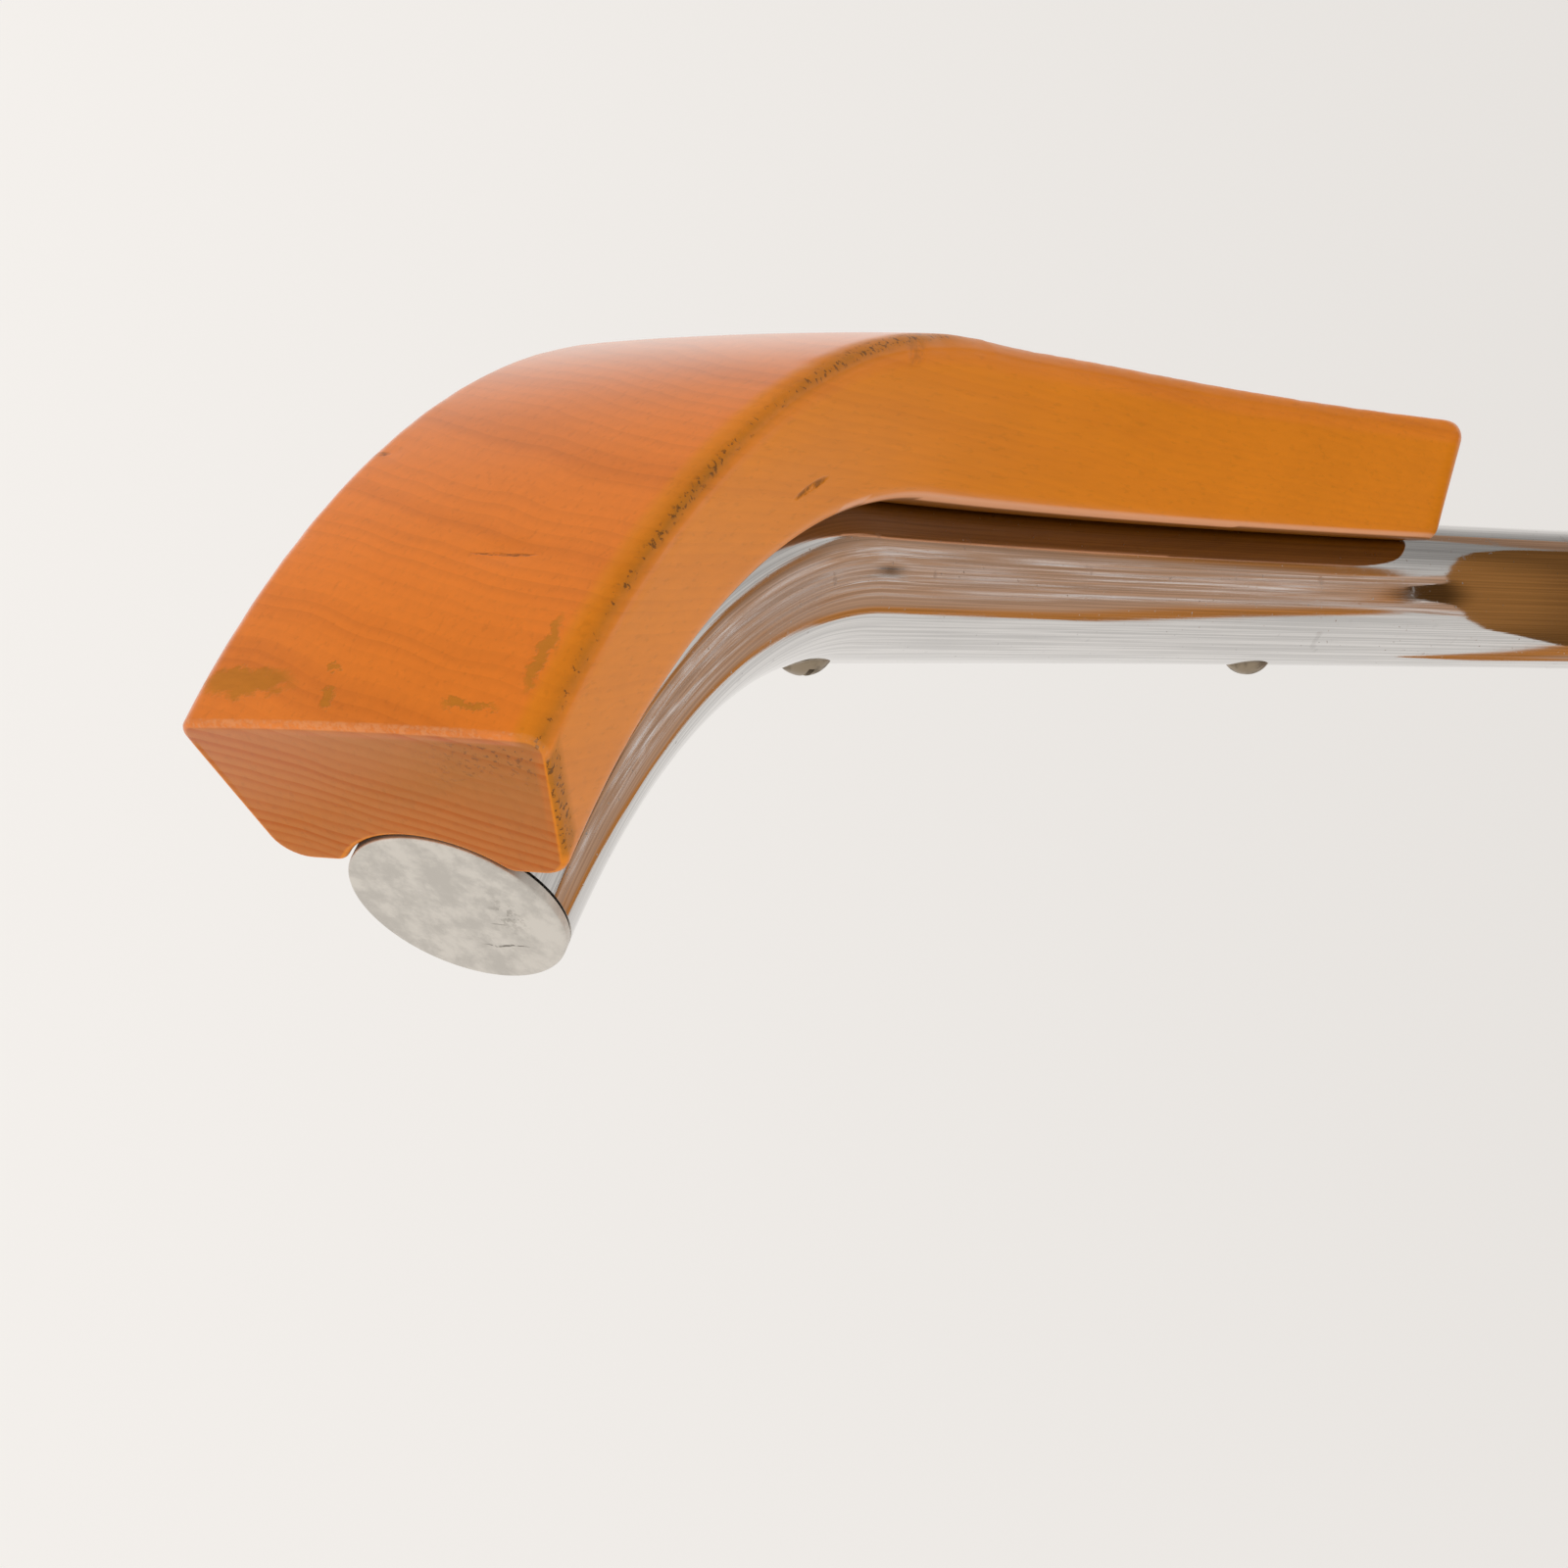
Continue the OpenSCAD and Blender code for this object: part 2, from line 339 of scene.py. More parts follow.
# How the sides' colour changes towards the back, the tone of the front edge's scuffs and painted highlight,
# and the tone of the painted highlight along the near lower edge.
REAR_SIDE_SHARE = (0.88, 0.86, 0.5)
SCUFF_AND_HIGHLIGHT_TONE = (0.85, 0.45, 0.22)
SHEEN_TONE = (0.9, 0.62, 0.5)


def lacquered_wood(finish):
    """Solid wood, stained orange and lacquered, with growth rings that run through the block."""
    board = Board("lacquered_wood")
    place = board.place()
    x, y, z = board.split(place)
    along = board.attribute("along")
    across = board.attribute("across")
    rise = board.attribute("rise")
    top = board.attribute("top_face")
    end = board.attribute("end_face")
    near_edge = board.attribute("near_edge")
    front_edge = board.attribute("front_edge")

    # Growth rings: nearly level sheets through the block, tilted across it and slowly wavy.
    slow = board.noise(board.join(x * 9, y * 22, z * 22), 1.0, 3.0)
    depth = z - y * 0.2 + x * 0.02 + slow * 0.008
    turn = depth / finish.ring_step
    saw = board.node("ShaderNodeMath", {"operation": "FRACT"}, {0: turn})
    late = saw.smooth(0.25, 0.92) * saw.smooth(1.0, 0.93)
    strength = board.noise(board.join(x * 4, y * 6, depth * 330), 1.0, 1.0).smooth(0.35, 0.65)
    rings = late * (strength * 0.65 + 0.35)
    bands = board.noise(board.join(x * 5, y * 9, depth * 210 + 7.0), 1.0, 2.0).smooth(0.46, 0.62)

    # Fibres run along the block.
    fibre = board.noise(board.join(x * 45, y * 900, z * 900), 1.0, 3.0, 0.6)
    fleck = board.noise(board.join(x * 220, y * 1500, z * 1500), 1.0, 2.0, 0.6).smooth(0.56, 0.72)
    cloud = board.noise(place, 28.0, 3.0)

    rear = along.smooth(-60 * MM, 60 * MM)
    side = board.mix(rear, finish.side, tuple(c * k for c, k in zip(finish.side, REAR_SIDE_SHARE)))
    base = board.mix(top, side, finish.top)
    base = board.mix(end, base, finish.end)
    ring_share = rings * (top * 0.1 + 0.1) + rings * end * 0.9 + bands * (top * 0.16 + 0.06)
    base = board.mix(ring_share.clip(), base, finish.ring)
    shade = 1.0 + (fibre - 0.5) * 0.16 + (cloud - 0.5) * 0.22 - fleck * 0.08
    base = board.tint(base, shade)

    # Old varnish shows in patches where the stain has worn off, mostly near the front edge.
    ragged = (board.noise(board.join(along * 700, across * 420, 0.0), 1.0, 4.0, 0.7) - 0.5) * 4.0 * 1.1 * MM
    patch = spots(along + ragged, across + ragged, WORN_PATCHES, 0.3) * top
    grain_dark = board.noise(board.join(along * 2600, across * 500, 1.0), 1.0, 2.0)
    varnish = board.mix(grain_dark, finish.worn, scaled(finish.worn, 0.72))
    base = board.mix(patch * 0.62, base, varnish)

    # Wear along the edges: a greenish-brown line with pits on the near edge. On the front one, paler scuffs
    # lie on an even pale line that is a painted highlight.
    bits = board.noise(board.join(x * 700, y * 700, z * 700), 1.0, 3.0, 0.65)
    broad = board.noise(board.join(x * 60, y * 60, z * 60), 1.0, 2.0)
    specks = board.noise(place, 1500.0, 3.0, 0.6)
    line = near_edge * (broad * 1.2 + bits * 0.7 - 0.2).clip()
    base = board.mix((line * 0.7).clip(), base, scaled(finish.worn, 0.62))
    pits = near_edge.smooth(0.5, 0.9) * (specks + broad * 0.3).smooth(0.73, 0.79)
    base = board.mix(pits * 0.7, base, finish.grime)
    # Painted highlight: the even pale line along the front top edge, with scuffs as specks on it.
    scuff_and_highlight = front_edge * (0.3 + (specks * 0.7 + broad * 0.5).smooth(0.56, 0.7))
    base = board.mix((scuff_and_highlight * 0.22).clip(), base, SCUFF_AND_HIGHLIGHT_TONE)
    # Painted shade: the underside and the groove are darkened where the tube and the pad keep the light off
    # them.
    base = board.tint(base, 1.0 - board.attribute("painted_underside_shade") * 0.68)
    # Painted highlight: a pale sheen along the near lower edge.
    base = board.mix(board.attribute("low_edge") * 0.34, base, SHEEN_TONE)

    jitter = (bits - 0.5) * 0.7 * MM
    dents = spots(along + jitter, across + jitter, DENTS) * top
    cut = spot(along, rise + (bits - 0.5) * 0.5 * MM, *SIDE_DENT)
    cut = cut * across.smooth(-5 * MM, -15 * MM) * bits.smooth(0.35, 0.6)
    dents = dents.top(cut)
    base = board.mix(dents * bits.smooth(0.35, 0.62) * 0.65, base, finish.grime)

    rough = 0.3 + patch * 0.15 + line * 0.2 + dents * 0.3 + (cloud - 0.5) * 0.1
    normal = board.bump(fibre * 0.35 + rings * 0.1 - fleck * 0.3, 0.1, 0.15 * MM)
    normal = board.bump(0.0 - patch * 0.4 - pits * 1.2 - dents * 1.3 - scuff_and_highlight * 0.3, 0.55, 0.3 * MM, normal)
    return board.surface(
        Base_Color=base,
        Roughness=rough,
        Normal=normal,
        Specular_IOR_Level=0.05,
        Coat_Weight=0.05 + top * 0.95 - patch * 0.6,
        Coat_IOR=1.36,
        Coat_Roughness=0.2,
    )


def chrome_plate(finish, has_path):
    """Bright chrome with faint drawing lines, smudges and a few pits. The tube's lines follow its path."""
    board = Board("chrome_plate_drawn" if has_path else "chrome_plate")
    place = board.place()
    smudge = board.noise(place, 34.0, 4.0, 0.6).smooth(0.45, 0.75)
    pits = board.noise(place, 1500.0, 1.0).smooth(0.74, 0.8)
    spots = board.noise(place, 260.0, 2.0).smooth(0.68, 0.76)
    if has_path:
        along = board.attribute("along")
        around = board.attribute("around")
        lines = board.noise(board.join(along * 12, around * 3200, 0.0), 1.0, 3.0, 0.6)
        streak = lines.smooth(0.4, 0.6)
    else:
        lines = board.noise(place, 700.0, 2.0)
        streak = smudge
    tone = 1.0 - smudge * 0.06 - spots * 0.1 - pits * 0.35
    base = board.mix(streak, scaled(finish.chrome, 0.84), scaled(finish.chrome, 1.08))
    base = board.tint(base, tone)
    rough = 0.045 + smudge * 0.07 + spots * 0.1 + pits * 0.3
    normal = board.bump(lines - pits * 1.5, 0.06, 0.1 * MM)
    return board.surface(Base_Color=base, Metallic=1.0, Roughness=rough, Normal=normal)


PIT_TONE = (0.14, 0.125, 0.1)


def satin_plate(finish):
    """Satin plate of the end disc: stained, with fine dark pitting and one short scratch."""
    board = Board("satin_plate")
    place = board.place()
    side = board.attribute("disc_side")
    up = board.attribute("disc_up")
    stain = board.noise(place, 190.0, 6.0, 0.7)
    cloud = board.noise(place, 45.0, 3.0)
    pit_field = board.noise(place, 1100.0, 3.0, 0.7)
    centre = spot(side, up, (-1.5, -0.5), (5.5, 4.5), 0.5)
    pits = pit_field.smooth(0.5, 0.57) * cloud.smooth(0.36, 0.5) * centre
    wander = (board.noise(place, 300.0, 2.0) - 0.5) * 1.6 * MM
    scratch = spot(side, up + wander, (-3.6, -6.0), (2.6, 0.16)) * pit_field.smooth(0.35, 0.55)
    scratch = scratch.top(spot(side, up + wander, (-4.6, -2.0), (1.0, 0.12)) * 0.6)
    base = board.mix(stain.smooth(0.38, 0.6), finish.disc, scaled(finish.disc, 0.8))
    base = board.mix((pits * 0.62).top(scratch * 0.85), base, PIT_TONE)
    rough = 0.36 + stain * 0.12 + pits * 0.25
    normal = board.bump(stain * 0.2 - pits - scratch, 0.25, 0.08 * MM)
    return board.surface(Base_Color=base, Metallic=0.85, Roughness=rough, Normal=normal)


def dull_screw_plate(finish):
    """Dulled, slightly brassy plate of the screws, darker where dirt stays."""
    board = Board("screw_steel")
    place = board.place()
    dirt = board.noise(place, 420.0, 3.0, 0.6).smooth(0.45, 0.7)
    turning = board.noise(place, 2400.0, 2.0)
    base = board.mix(dirt * 0.6, finish.screw, scaled(finish.screw, 0.4))
    normal = board.bump(turning - dirt * 0.5, 0.2, 0.05 * MM)
    return board.surface(Base_Color=base, Metallic=0.9, Roughness=0.34 + dirt * 0.25, Normal=normal)


def turned_metal(name, base_colour, roughness):
    """Plain metal of a hidden piece, with turning or drawing marks."""
    board = Board(name)
    place = board.place()
    x, y, z = board.split(place)
    marks = board.noise(board.join(x * 300, y * 300, z * 3000), 1.0, 2.0)
    blotch = board.noise(place, 160.0, 3.0)
    base = board.mix(blotch.smooth(0.4, 0.7), base_colour, scaled(base_colour, 0.78))
    normal = board.bump(marks, 0.2, 0.05 * MM)
    return board.surface(Base_Color=base, Metallic=1.0, Roughness=roughness + marks * 0.12, Normal=normal)


def moulded(name, base_colour, roughness, grain):
    """Moulded rubber or nylon with a fine matt grain."""
    board = Board(name)
    place = board.place()
    fine = board.noise(place, grain, 3.0, 0.6)
    bloom = board.noise(place, 90.0, 3.0).smooth(0.5, 0.8)
    base = board.mix(bloom * 0.35, base_colour, tuple(min(1.0, c * 1.3 + 0.03) for c in base_colour))
    normal = board.bump(fine, 0.25, 0.08 * MM)
    return board.surface(Base_Color=base, Roughness=roughness + fine * 0.15, Normal=normal)


# ---- The tube's path ----


# Cosine of the angle through which the long sweep turns.
SWEEP_COSINE = 0.8


class Path:
    """The tube's axis in the row's frame: front bend, long sweep, tight bend and straight tail."""

    def __init__(self, sizes):
        low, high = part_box("arm_tube")
        reach = (sizes.drop_radius + sizes.radius) * math.sin(sizes.drop_angle)
        self.sizes = sizes
        self.start = Vector((low.x + reach, high.y - sizes.radius, 0.0))
        self.drop_length = sizes.drop_radius * sizes.drop_angle
        self.sweep_angle = math.acos(SWEEP_COSINE)
        self.sweep_length = sizes.sweep_radius * self.sweep_angle
        self.elbow_length = sizes.elbow_radius * (math.pi / 2 - self.sweep_angle)
        self.tail_length = 0.0
        end, _ = self.at(self.sweep_length + self.elbow_length)
        self.tail_length = end.y - low.y

    def at(self, s):
        """Point and direction at a distance from the front bend's start. It is negative in the bend."""
        sizes = self.sizes
        if s < 0:
            a = min(-s, self.drop_length) / sizes.drop_radius
            over = max(-s - self.drop_length, 0.0)
            direction = Vector((math.cos(a), 0.0, math.sin(a)))
            point = Vector((-sizes.drop_radius * math.sin(a), 0.0, -sizes.drop_radius * (1 - math.cos(a))))
            return self.start + point - direction * over, direction
        a = min(s, self.sweep_length) / sizes.sweep_radius
        point = Vector((math.sin(a), math.cos(a) - 1, 0.0)) * sizes.sweep_radius
        extra = s - self.sweep_length
        if extra > 0:
            centre = point - Vector((math.sin(a), math.cos(a), 0.0)) * sizes.elbow_radius
            a += min(extra, self.elbow_length) / sizes.elbow_radius
            point = centre + Vector((math.sin(a), math.cos(a), 0.0)) * sizes.elbow_radius
        direction = Vector((math.cos(a), -math.sin(a), 0.0))
        if extra > self.elbow_length:
            point += direction * (extra - self.elbow_length)
        return self.start + point, direction

    def axes(self, s):
        """Point, direction, upward normal and sideways axis, which points away from the chair."""
        point, direction = self.at(s)
        up = Vector((-direction.z, 0.0, direction.x)) if s < 0 else Vector((0.0, 0.0, 1.0))
        return point, direction, up, up.cross(direction)

    def lift(self, s, across, rise):
        """A point beside and above the axis."""
        point, _, up, side = self.axes(s)
        return point + side * across + up * rise


# ---- Mesh helpers ----


def link(name, mesh):
    piece = bpy.data.objects.new(name, mesh)
    bpy.context.scene.collection.objects.link(piece)
    return piece


def mesh_piece(name, points, faces, sharp=None):
    """Makes a closed mesh with its faces pointing outwards. Edges sharper than the given angle stay sharp."""
    mesh = bpy.data.meshes.new(name)
    mesh.from_pydata([tuple(p) for p in points], [], faces)
    work = bmesh.new()
    work.from_mesh(mesh)
    bmesh.ops.recalc_face_normals(work, faces=work.faces)
    work.to_mesh(mesh)
    work.free()
    mesh.polygons.foreach_set("use_smooth", [True] * len(mesh.polygons))
    if sharp is not None:
        mesh.set_sharp_from_angle(angle=sharp)
    return link(name, mesh)


def skin(rings, size):
    """Faces between closed rings of points, which all have the same size."""
    return [
        (r * size + i, r * size + (i + 1) % size, (r + 1) * size + (i + 1) % size, (r + 1) * size + i)
        for r in range(rings - 1)
        for i in range(size)
    ]


def write_attribute(mesh, name, values):
    layer = mesh.attributes.new(name, "FLOAT", "POINT")
    layer.data.foreach_set("value", np.asarray(values, np.float32))


def dress(piece, material, slot, *nodes):
    """Gives a finished piece its material and its body, and hides the CAD nodes that it stands for. The slot
    is not used.
    """
    piece.data.materials.clear()
    piece.data.materials.append(material)
    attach(piece, BODY)
    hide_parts(*nodes)


def settle(piece, name):
    """Turns a piece with modifiers into a plain mesh object of its own and removes the working one."""
    depsgraph = bpy.context.evaluated_depsgraph_get()
    mesh = bpy.data.meshes.new_from_object(piece.evaluated_get(depsgraph), depsgraph=depsgraph)
    bpy.data.objects.remove(piece)
    mesh.name = name
    return link(name, mesh)


def cut_away(piece, cutters, name):
    """Takes the cutters out of a piece, removes them and gives the plain result."""
    for cutter in cutters:
        cut = piece.modifiers.new("hole", "BOOLEAN")
        cut.operation = "DIFFERENCE"
        cut.solver = "EXACT"
        cut.object = cutter
    result = settle(piece, name)
    for cutter in cutters:
        bpy.data.objects.remove(cutter)
    return result


def lathe(name, profile, centre, axis, steps=128, sharp=math.radians(35)):
    """Turns a profile of (radius, height) points round an axis. The profile starts and ends on the axis."""
    turn = Vector((0, 0, 1)).rotation_difference(axis).to_matrix()
    points = []
    rings = []
    for radius, height in profile:
        if radius == 0:
            rings.append([len(points)])
            points.append(centre + turn @ Vector((0, 0, height)))
            continue
        rings.append(list(range(len(points), len(points) + steps)))
        for i in range(steps):
            a = 2 * math.pi * i / steps
            points.append(centre + turn @ Vector((radius * math.cos(a), radius * math.sin(a), height)))
    faces = []
    for lower, upper in zip(rings, rings[1:]):
        for i in range(steps):
            j = (i + 1) % steps
            turns = ((lower, i), (lower, j), (upper, j), (upper, i))
            faces.append(tuple(dict.fromkeys(ring[k % len(ring)] for ring, k in turns)))
    return mesh_piece(name, points, faces, sharp)


def fillet(corner, start, end, radius, steps=6):
    """Points of a round corner between two straight runs, in any plane profile."""
    a = (Vector(start) - Vector(corner)).normalized()
    b = (Vector(end) - Vector(corner)).normalized()
    half = a.angle(b) / 2
    centre = Vector(corner) + (a + b).normalized() * radius / math.sin(half)
    first = Vector(corner) + a * radius / math.tan(half) - centre
    last = Vector(corner) + b * radius / math.tan(half) - centre
    sweep = first.angle_signed(last)
    # angle_signed is positive clockwise in a plane of x and y.
    return [centre + Matrix.Rotation(-sweep * i / steps, 2) @ first for i in range(steps + 1)]


# ---- Geometry Nodes helpers ----


class Recipe:
    """A Geometry Nodes tree with named inputs."""

    def __init__(self, name, inputs):
        self.tree = bpy.data.node_groups.new(name, "GeometryNodeTree")
        for label, kind in {"Geometry": "NodeSocketGeometry", **inputs}.items():
            self.tree.interface.new_socket(label, in_out="INPUT", socket_type=kind)
        self.tree.interface.new_socket("Geometry", in_out="OUTPUT", socket_type="NodeSocketGeometry")
        self.entry = self.tree.nodes.new("NodeGroupInput")
        self.exit = self.tree.nodes.new("NodeGroupOutput")

    def add(self, kind, settings=None, sockets=None, out=0):
        """Adds a node: first its settings, then its sockets. Gives one output."""
        made = self.tree.nodes.new(kind)
        for key, value in (settings or {}).items():
            setattr(made, key, value)
        for key, value in (sockets or {}).items():
            if isinstance(value, bpy.types.NodeSocket):
                self.tree.links.new(value, made.inputs[key])
            else:
                made.inputs[key].default_value = value
        return made.outputs[out]

    def given(self, label):
        return self.entry.outputs[label]

    def close(self, geometry, material):
        """Ends the tree in Realize Instances and Set Material."""
        real = self.add("GeometryNodeRealizeInstances", sockets={0: geometry})
        done = self.add("GeometryNodeSetMaterial", sockets={"Geometry": real, "Material": material})
        self.tree.links.new(done, self.exit.inputs[0])

    def run(self, piece, values):
        """Puts the tree on a piece as a modifier and sets its inputs by their identifiers."""
        modifier = piece.modifiers.new(self.tree.name, "NODES")
        modifier.node_group = self.tree
        for item in self.tree.interface.items_tree:
            if item.in_out == "INPUT" and item.name in values:
                modifier[item.identifier] = values[item.name]


# ---- Pieces ----


STEP_LENGTH = 1.2 * MM
CORNER_STEPS = 7
TOP_STEPS = 34
NEAR_SIDE_STEPS = 14
FAR_SIDE_STEPS = 12
# Half widths of the pad in millimetres: at the front end, behind the bend, and the gain towards the back.
HALF_WIDTHS = {
    "near_top": (25.0, 27.6, 0.5),
    "near_under": (17.6, 17.8, 0.4),
    "far_top": (19.7, 22.4, 0.5),
    "far_under": (18.3, 21.0, 0.5),
}
# How far the sections take to reach their front and back forms, and half the length of the eased dip.
FRONT_FORM = 93 * MM
BACK_FORM = 140 * MM
EASED_LENGTH = 30 * MM
# The back end's lower edge is rounder than its upper one by this share.
BACK_LOW_SHARE = 1.7
FRONT_ROUND = 0.8 * MM
BACK_ROUND = 2.6 * MM
CAP_MARGIN = 0.5 * MM
LEAN_LENGTH = 45 * MM
LIP_ROUND = 2 * MM
LIP_STEPS = 5
GROOVE_STEPS = 20


def blend(low, high, t):
    return low + (high - low) * t


def pad_section(sizes, s, inset, side_inset):
    """Outline of the pad across the tube as (across, rise) points, with what each point belongs to."""
    front = min(max(-s / FRONT_FORM, 0.0), 1.0)
    back = min(max(s / BACK_FORM, 0.0), 1.0)
    top = sizes.top - max(s, 0.0) * sizes.fall - inset - sizes.ease * math.exp(-((s / EASED_LENGTH) ** 2))
    under = blend(sizes.under, sizes.under_front, front) + inset * (BACK_LOW_SHARE if s > 0 else 1.0)
    near_top, near_under, far_top, far_under = (
        blend(width + gain * back, front_width, front) * MM - side_inset
        for front_width, width, gain in HALF_WIDTHS.values()
    )
    groove = sizes.groove + inset
    top_edge = max(sizes.top_edge - inset, 0.6 * MM)
    low_edge = max(sizes.low_edge - inset, 0.8 * MM)
    lip = max(LIP_ROUND - inset, 0.5 * MM)

    corners = [(-near_top, top), (far_top, top), (far_under, under), (-near_under, under)]
    near_high = fillet(corners[0], corners[3], corners[1], top_edge, CORNER_STEPS)
    far_high = fillet(corners[1], corners[0], corners[2], top_edge, CORNER_STEPS)
    far_low = fillet(corners[2], corners[1], corners[3], low_edge, CORNER_STEPS)
    near_low = fillet(corners[3], corners[2], corners[0], low_edge, CORNER_STEPS)

    lip_across = math.sqrt((groove + lip) ** 2 - (under + lip) ** 2)
    lip_centre = Vector((lip_across, under + lip))
    lip_turn = math.atan2(lip_across, under + lip)
    turns = [lip_turn * i / LIP_STEPS for i in range(LIP_STEPS + 1)]
    lip_arc = [lip_centre + Vector((-math.sin(a), -math.cos(a))) * lip for a in turns]
    half_groove = math.atan2(lip_arc[-1].x, lip_arc[-1].y)
    turns = [half_groove * (1 - 2 * i / GROOVE_STEPS) for i in range(1, GROOVE_STEPS)]
    arc = [Vector((math.sin(a), math.cos(a))) * groove for a in turns]

    def run(start, end, steps, kind):
        return [(start.lerp(end, i / steps), kind) for i in range(1, steps)]

    outline = [(p, "near_edge") for p in near_high]
    for i in range(1, TOP_STEPS):
        t = i / TOP_STEPS
        p = near_high[-1].lerp(far_high[0], t)
        outline.append((p + Vector((0, sizes.crown * 4 * t * (1 - t))), "top"))
    outline += [(p, "far_edge") for p in far_high]
    outline += run(far_high[-1], far_low[0], FAR_SIDE_STEPS, "side")
    outline += [(p, "under") for p in far_low]
    outline += run(far_low[-1], lip_arc[0], 3, "under")
    outline += [(p, "groove") for p in lip_arc]
    outline += [(p, "groove") for p in arc]
    outline += [(Vector((-p.x, p.y)), "groove") for p in reversed(lip_arc)]
    outline += run(outline[-1][0], near_low[0], 3, "under")
    outline += [(p, "under") for p in near_low]
    outline += run(near_low[-1], near_high[0], NEAR_SIDE_STEPS, "side")
    return outline


def pad_rings(sizes, front, front_steps=5, back_steps=18):
    """Place, inset and side inset of each ring of the pad, from the front face to the back one."""
    rings = [(front, FRONT_ROUND + CAP_MARGIN, FRONT_ROUND + CAP_MARGIN)]
    for i in range(front_steps + 1):
        a = math.pi / 2 * i / front_steps
        inset = FRONT_ROUND * (1 - math.sin(a))
        rings.append((front + FRONT_ROUND * (1 - math.cos(a)), inset, inset))
    start = rings[-1][0]
    body_end = sizes.end_place - sizes.end_round
    count = round((body_end - start) / STEP_LENGTH)
    rings += [(blend(start, body_end, i / count), 0.0, 0.0) for i in range(1, count + 1)]
    for i in range(1, back_steps + 1):
        a = math.pi / 2 * i / back_steps
        s = body_end + sizes.end_round * math.sin(a)
        side_inset = sizes.end_round * (1 - math.cos(a))
        over = max(s - (sizes.end_place - BACK_ROUND), 0.0)
        inset = BACK_ROUND - math.sqrt(max(BACK_ROUND * BACK_ROUND - over * over, 0.0))
        rings.append((s, inset, side_inset))
    rings.append((sizes.end_place, BACK_ROUND + CAP_MARGIN, sizes.end_round + CAP_MARGIN))
    return rings


def dent_depth(s, across, rise, kind):
    """How far the surface is pushed in at a point, by edge wear and by dents."""
    depth = 0.0
    place = Vector((s, across, rise))
    if kind in ("near_edge", "far_edge"):
        worn = 0.25 if kind == "far_edge" else 0.8 if s < -10 * MM else 0.4
        depth += max(noise.noise(place * 260) + 0.1, 0.0) * 0.32 * MM * worn
        depth += max(noise.noise(place * 900) - 0.1, 0.0) * 0.25 * MM * worn
    if kind == "top":
        for centre, size in DENTS:
            u = (s - centre[0] * MM) / (size[0] * MM + 0.9 * MM)
            v = (across - centre[1] * MM) / (size[1] * MM + 0.9 * MM)
            depth += 0.22 * MM * math.exp(-(u * u + v * v) * 1.5)
        depth += noise.noise(place * 45) * 0.05 * MM
    return depth


# How much of the upper face's colour a part of the outline has.
TOP_SHARES = {"top": 1.0, "far_edge": 1.0, "near_edge": 0.35}


def build_pad(path, sizes, fixing, finish):
    """The wooden pad: sections swept along the tube, with rounded ends and a groove for the tube."""
    front = -(path.drop_length + fixing.disc_plate)
    points = []
    data = {}
    rings = pad_rings(sizes, front)
    lean_start = sizes.end_place - LEAN_LENGTH
    for index, (s, inset, side_inset) in enumerate(rings):
        lean = min(max((s - lean_start) / LEAN_LENGTH, 0.0), 1.0)
        for p, kind in pad_section(sizes, s, inset, side_inset):
            shift = math.tan(sizes.end_lean) * (sizes.top - p.y) * lean
            push = dent_depth(s, p.x, p.y, kind)
            across, rise = p.x, p.y
            if kind == "top":
                rise -= push
            elif kind == "near_edge":
                across += push * 0.7
                rise -= push * 0.7
            elif kind == "far_edge":
                across -= push * 0.7
                rise -= push * 0.7
            points.append(path.lift(s + shift, across, rise))

            near = p.x < 0
            # The strip along the near lower edge that gets the painted highlight.
            low = kind == "under" and near and 0.2 * MM < p.y - sizes.under < 1.0 * MM and s > -25 * MM
            # Points on the underside and in the groove, which get painted shade.
            below = kind == "groove" or (kind == "under" and p.y < sizes.under + 0.2 * MM)
            worn = min(max((10 * MM - s) / (25 * MM), 0.0), 1.0) * 0.75 + 0.25
            crest = worn * max(1.0 - abs(p.y - sizes.top + 1.2 * MM) / (1.6 * MM), 0.0)
            crest *= near and kind in ("near_edge", "side")
            # The upright edge of the front face is worn too.
            corner = 0.9 * (kind == "side" and near and 2 < index < 8)
            values = {
                "along": s + shift,
                "across": across,
                "rise": rise,
                "top_face": TOP_SHARES.get(kind, 0.0),
                "end_face": float(index < 2 or index > len(rings) - 2),
                "near_edge": max(crest, corner),
                "front_edge": float(1 < index < 6 and p.y > sizes.top - 3 * MM),
                "low_edge": float(low),
                "painted_underside_shade": float(below and index > 4),
            }
            for name, value in values.items():
                data.setdefault(name, []).append(value)
    size = len(points) // len(rings)
    faces = skin(len(rings), size)
    last = (len(rings) - 1) * size
    faces.append(tuple(range(size)))
    faces.append(tuple(reversed(range(last, last + size))))
    piece = mesh_piece("wooden_pad", points, faces, math.radians(50))
    for name, values in data.items():
        write_attribute(piece.data, name, values)
    dress(piece, lacquered_wood(finish), "lacquered_wood", "arm_pad")


TUBE_SIDES = 112
SCREW_HOLE = 2.2 * MM


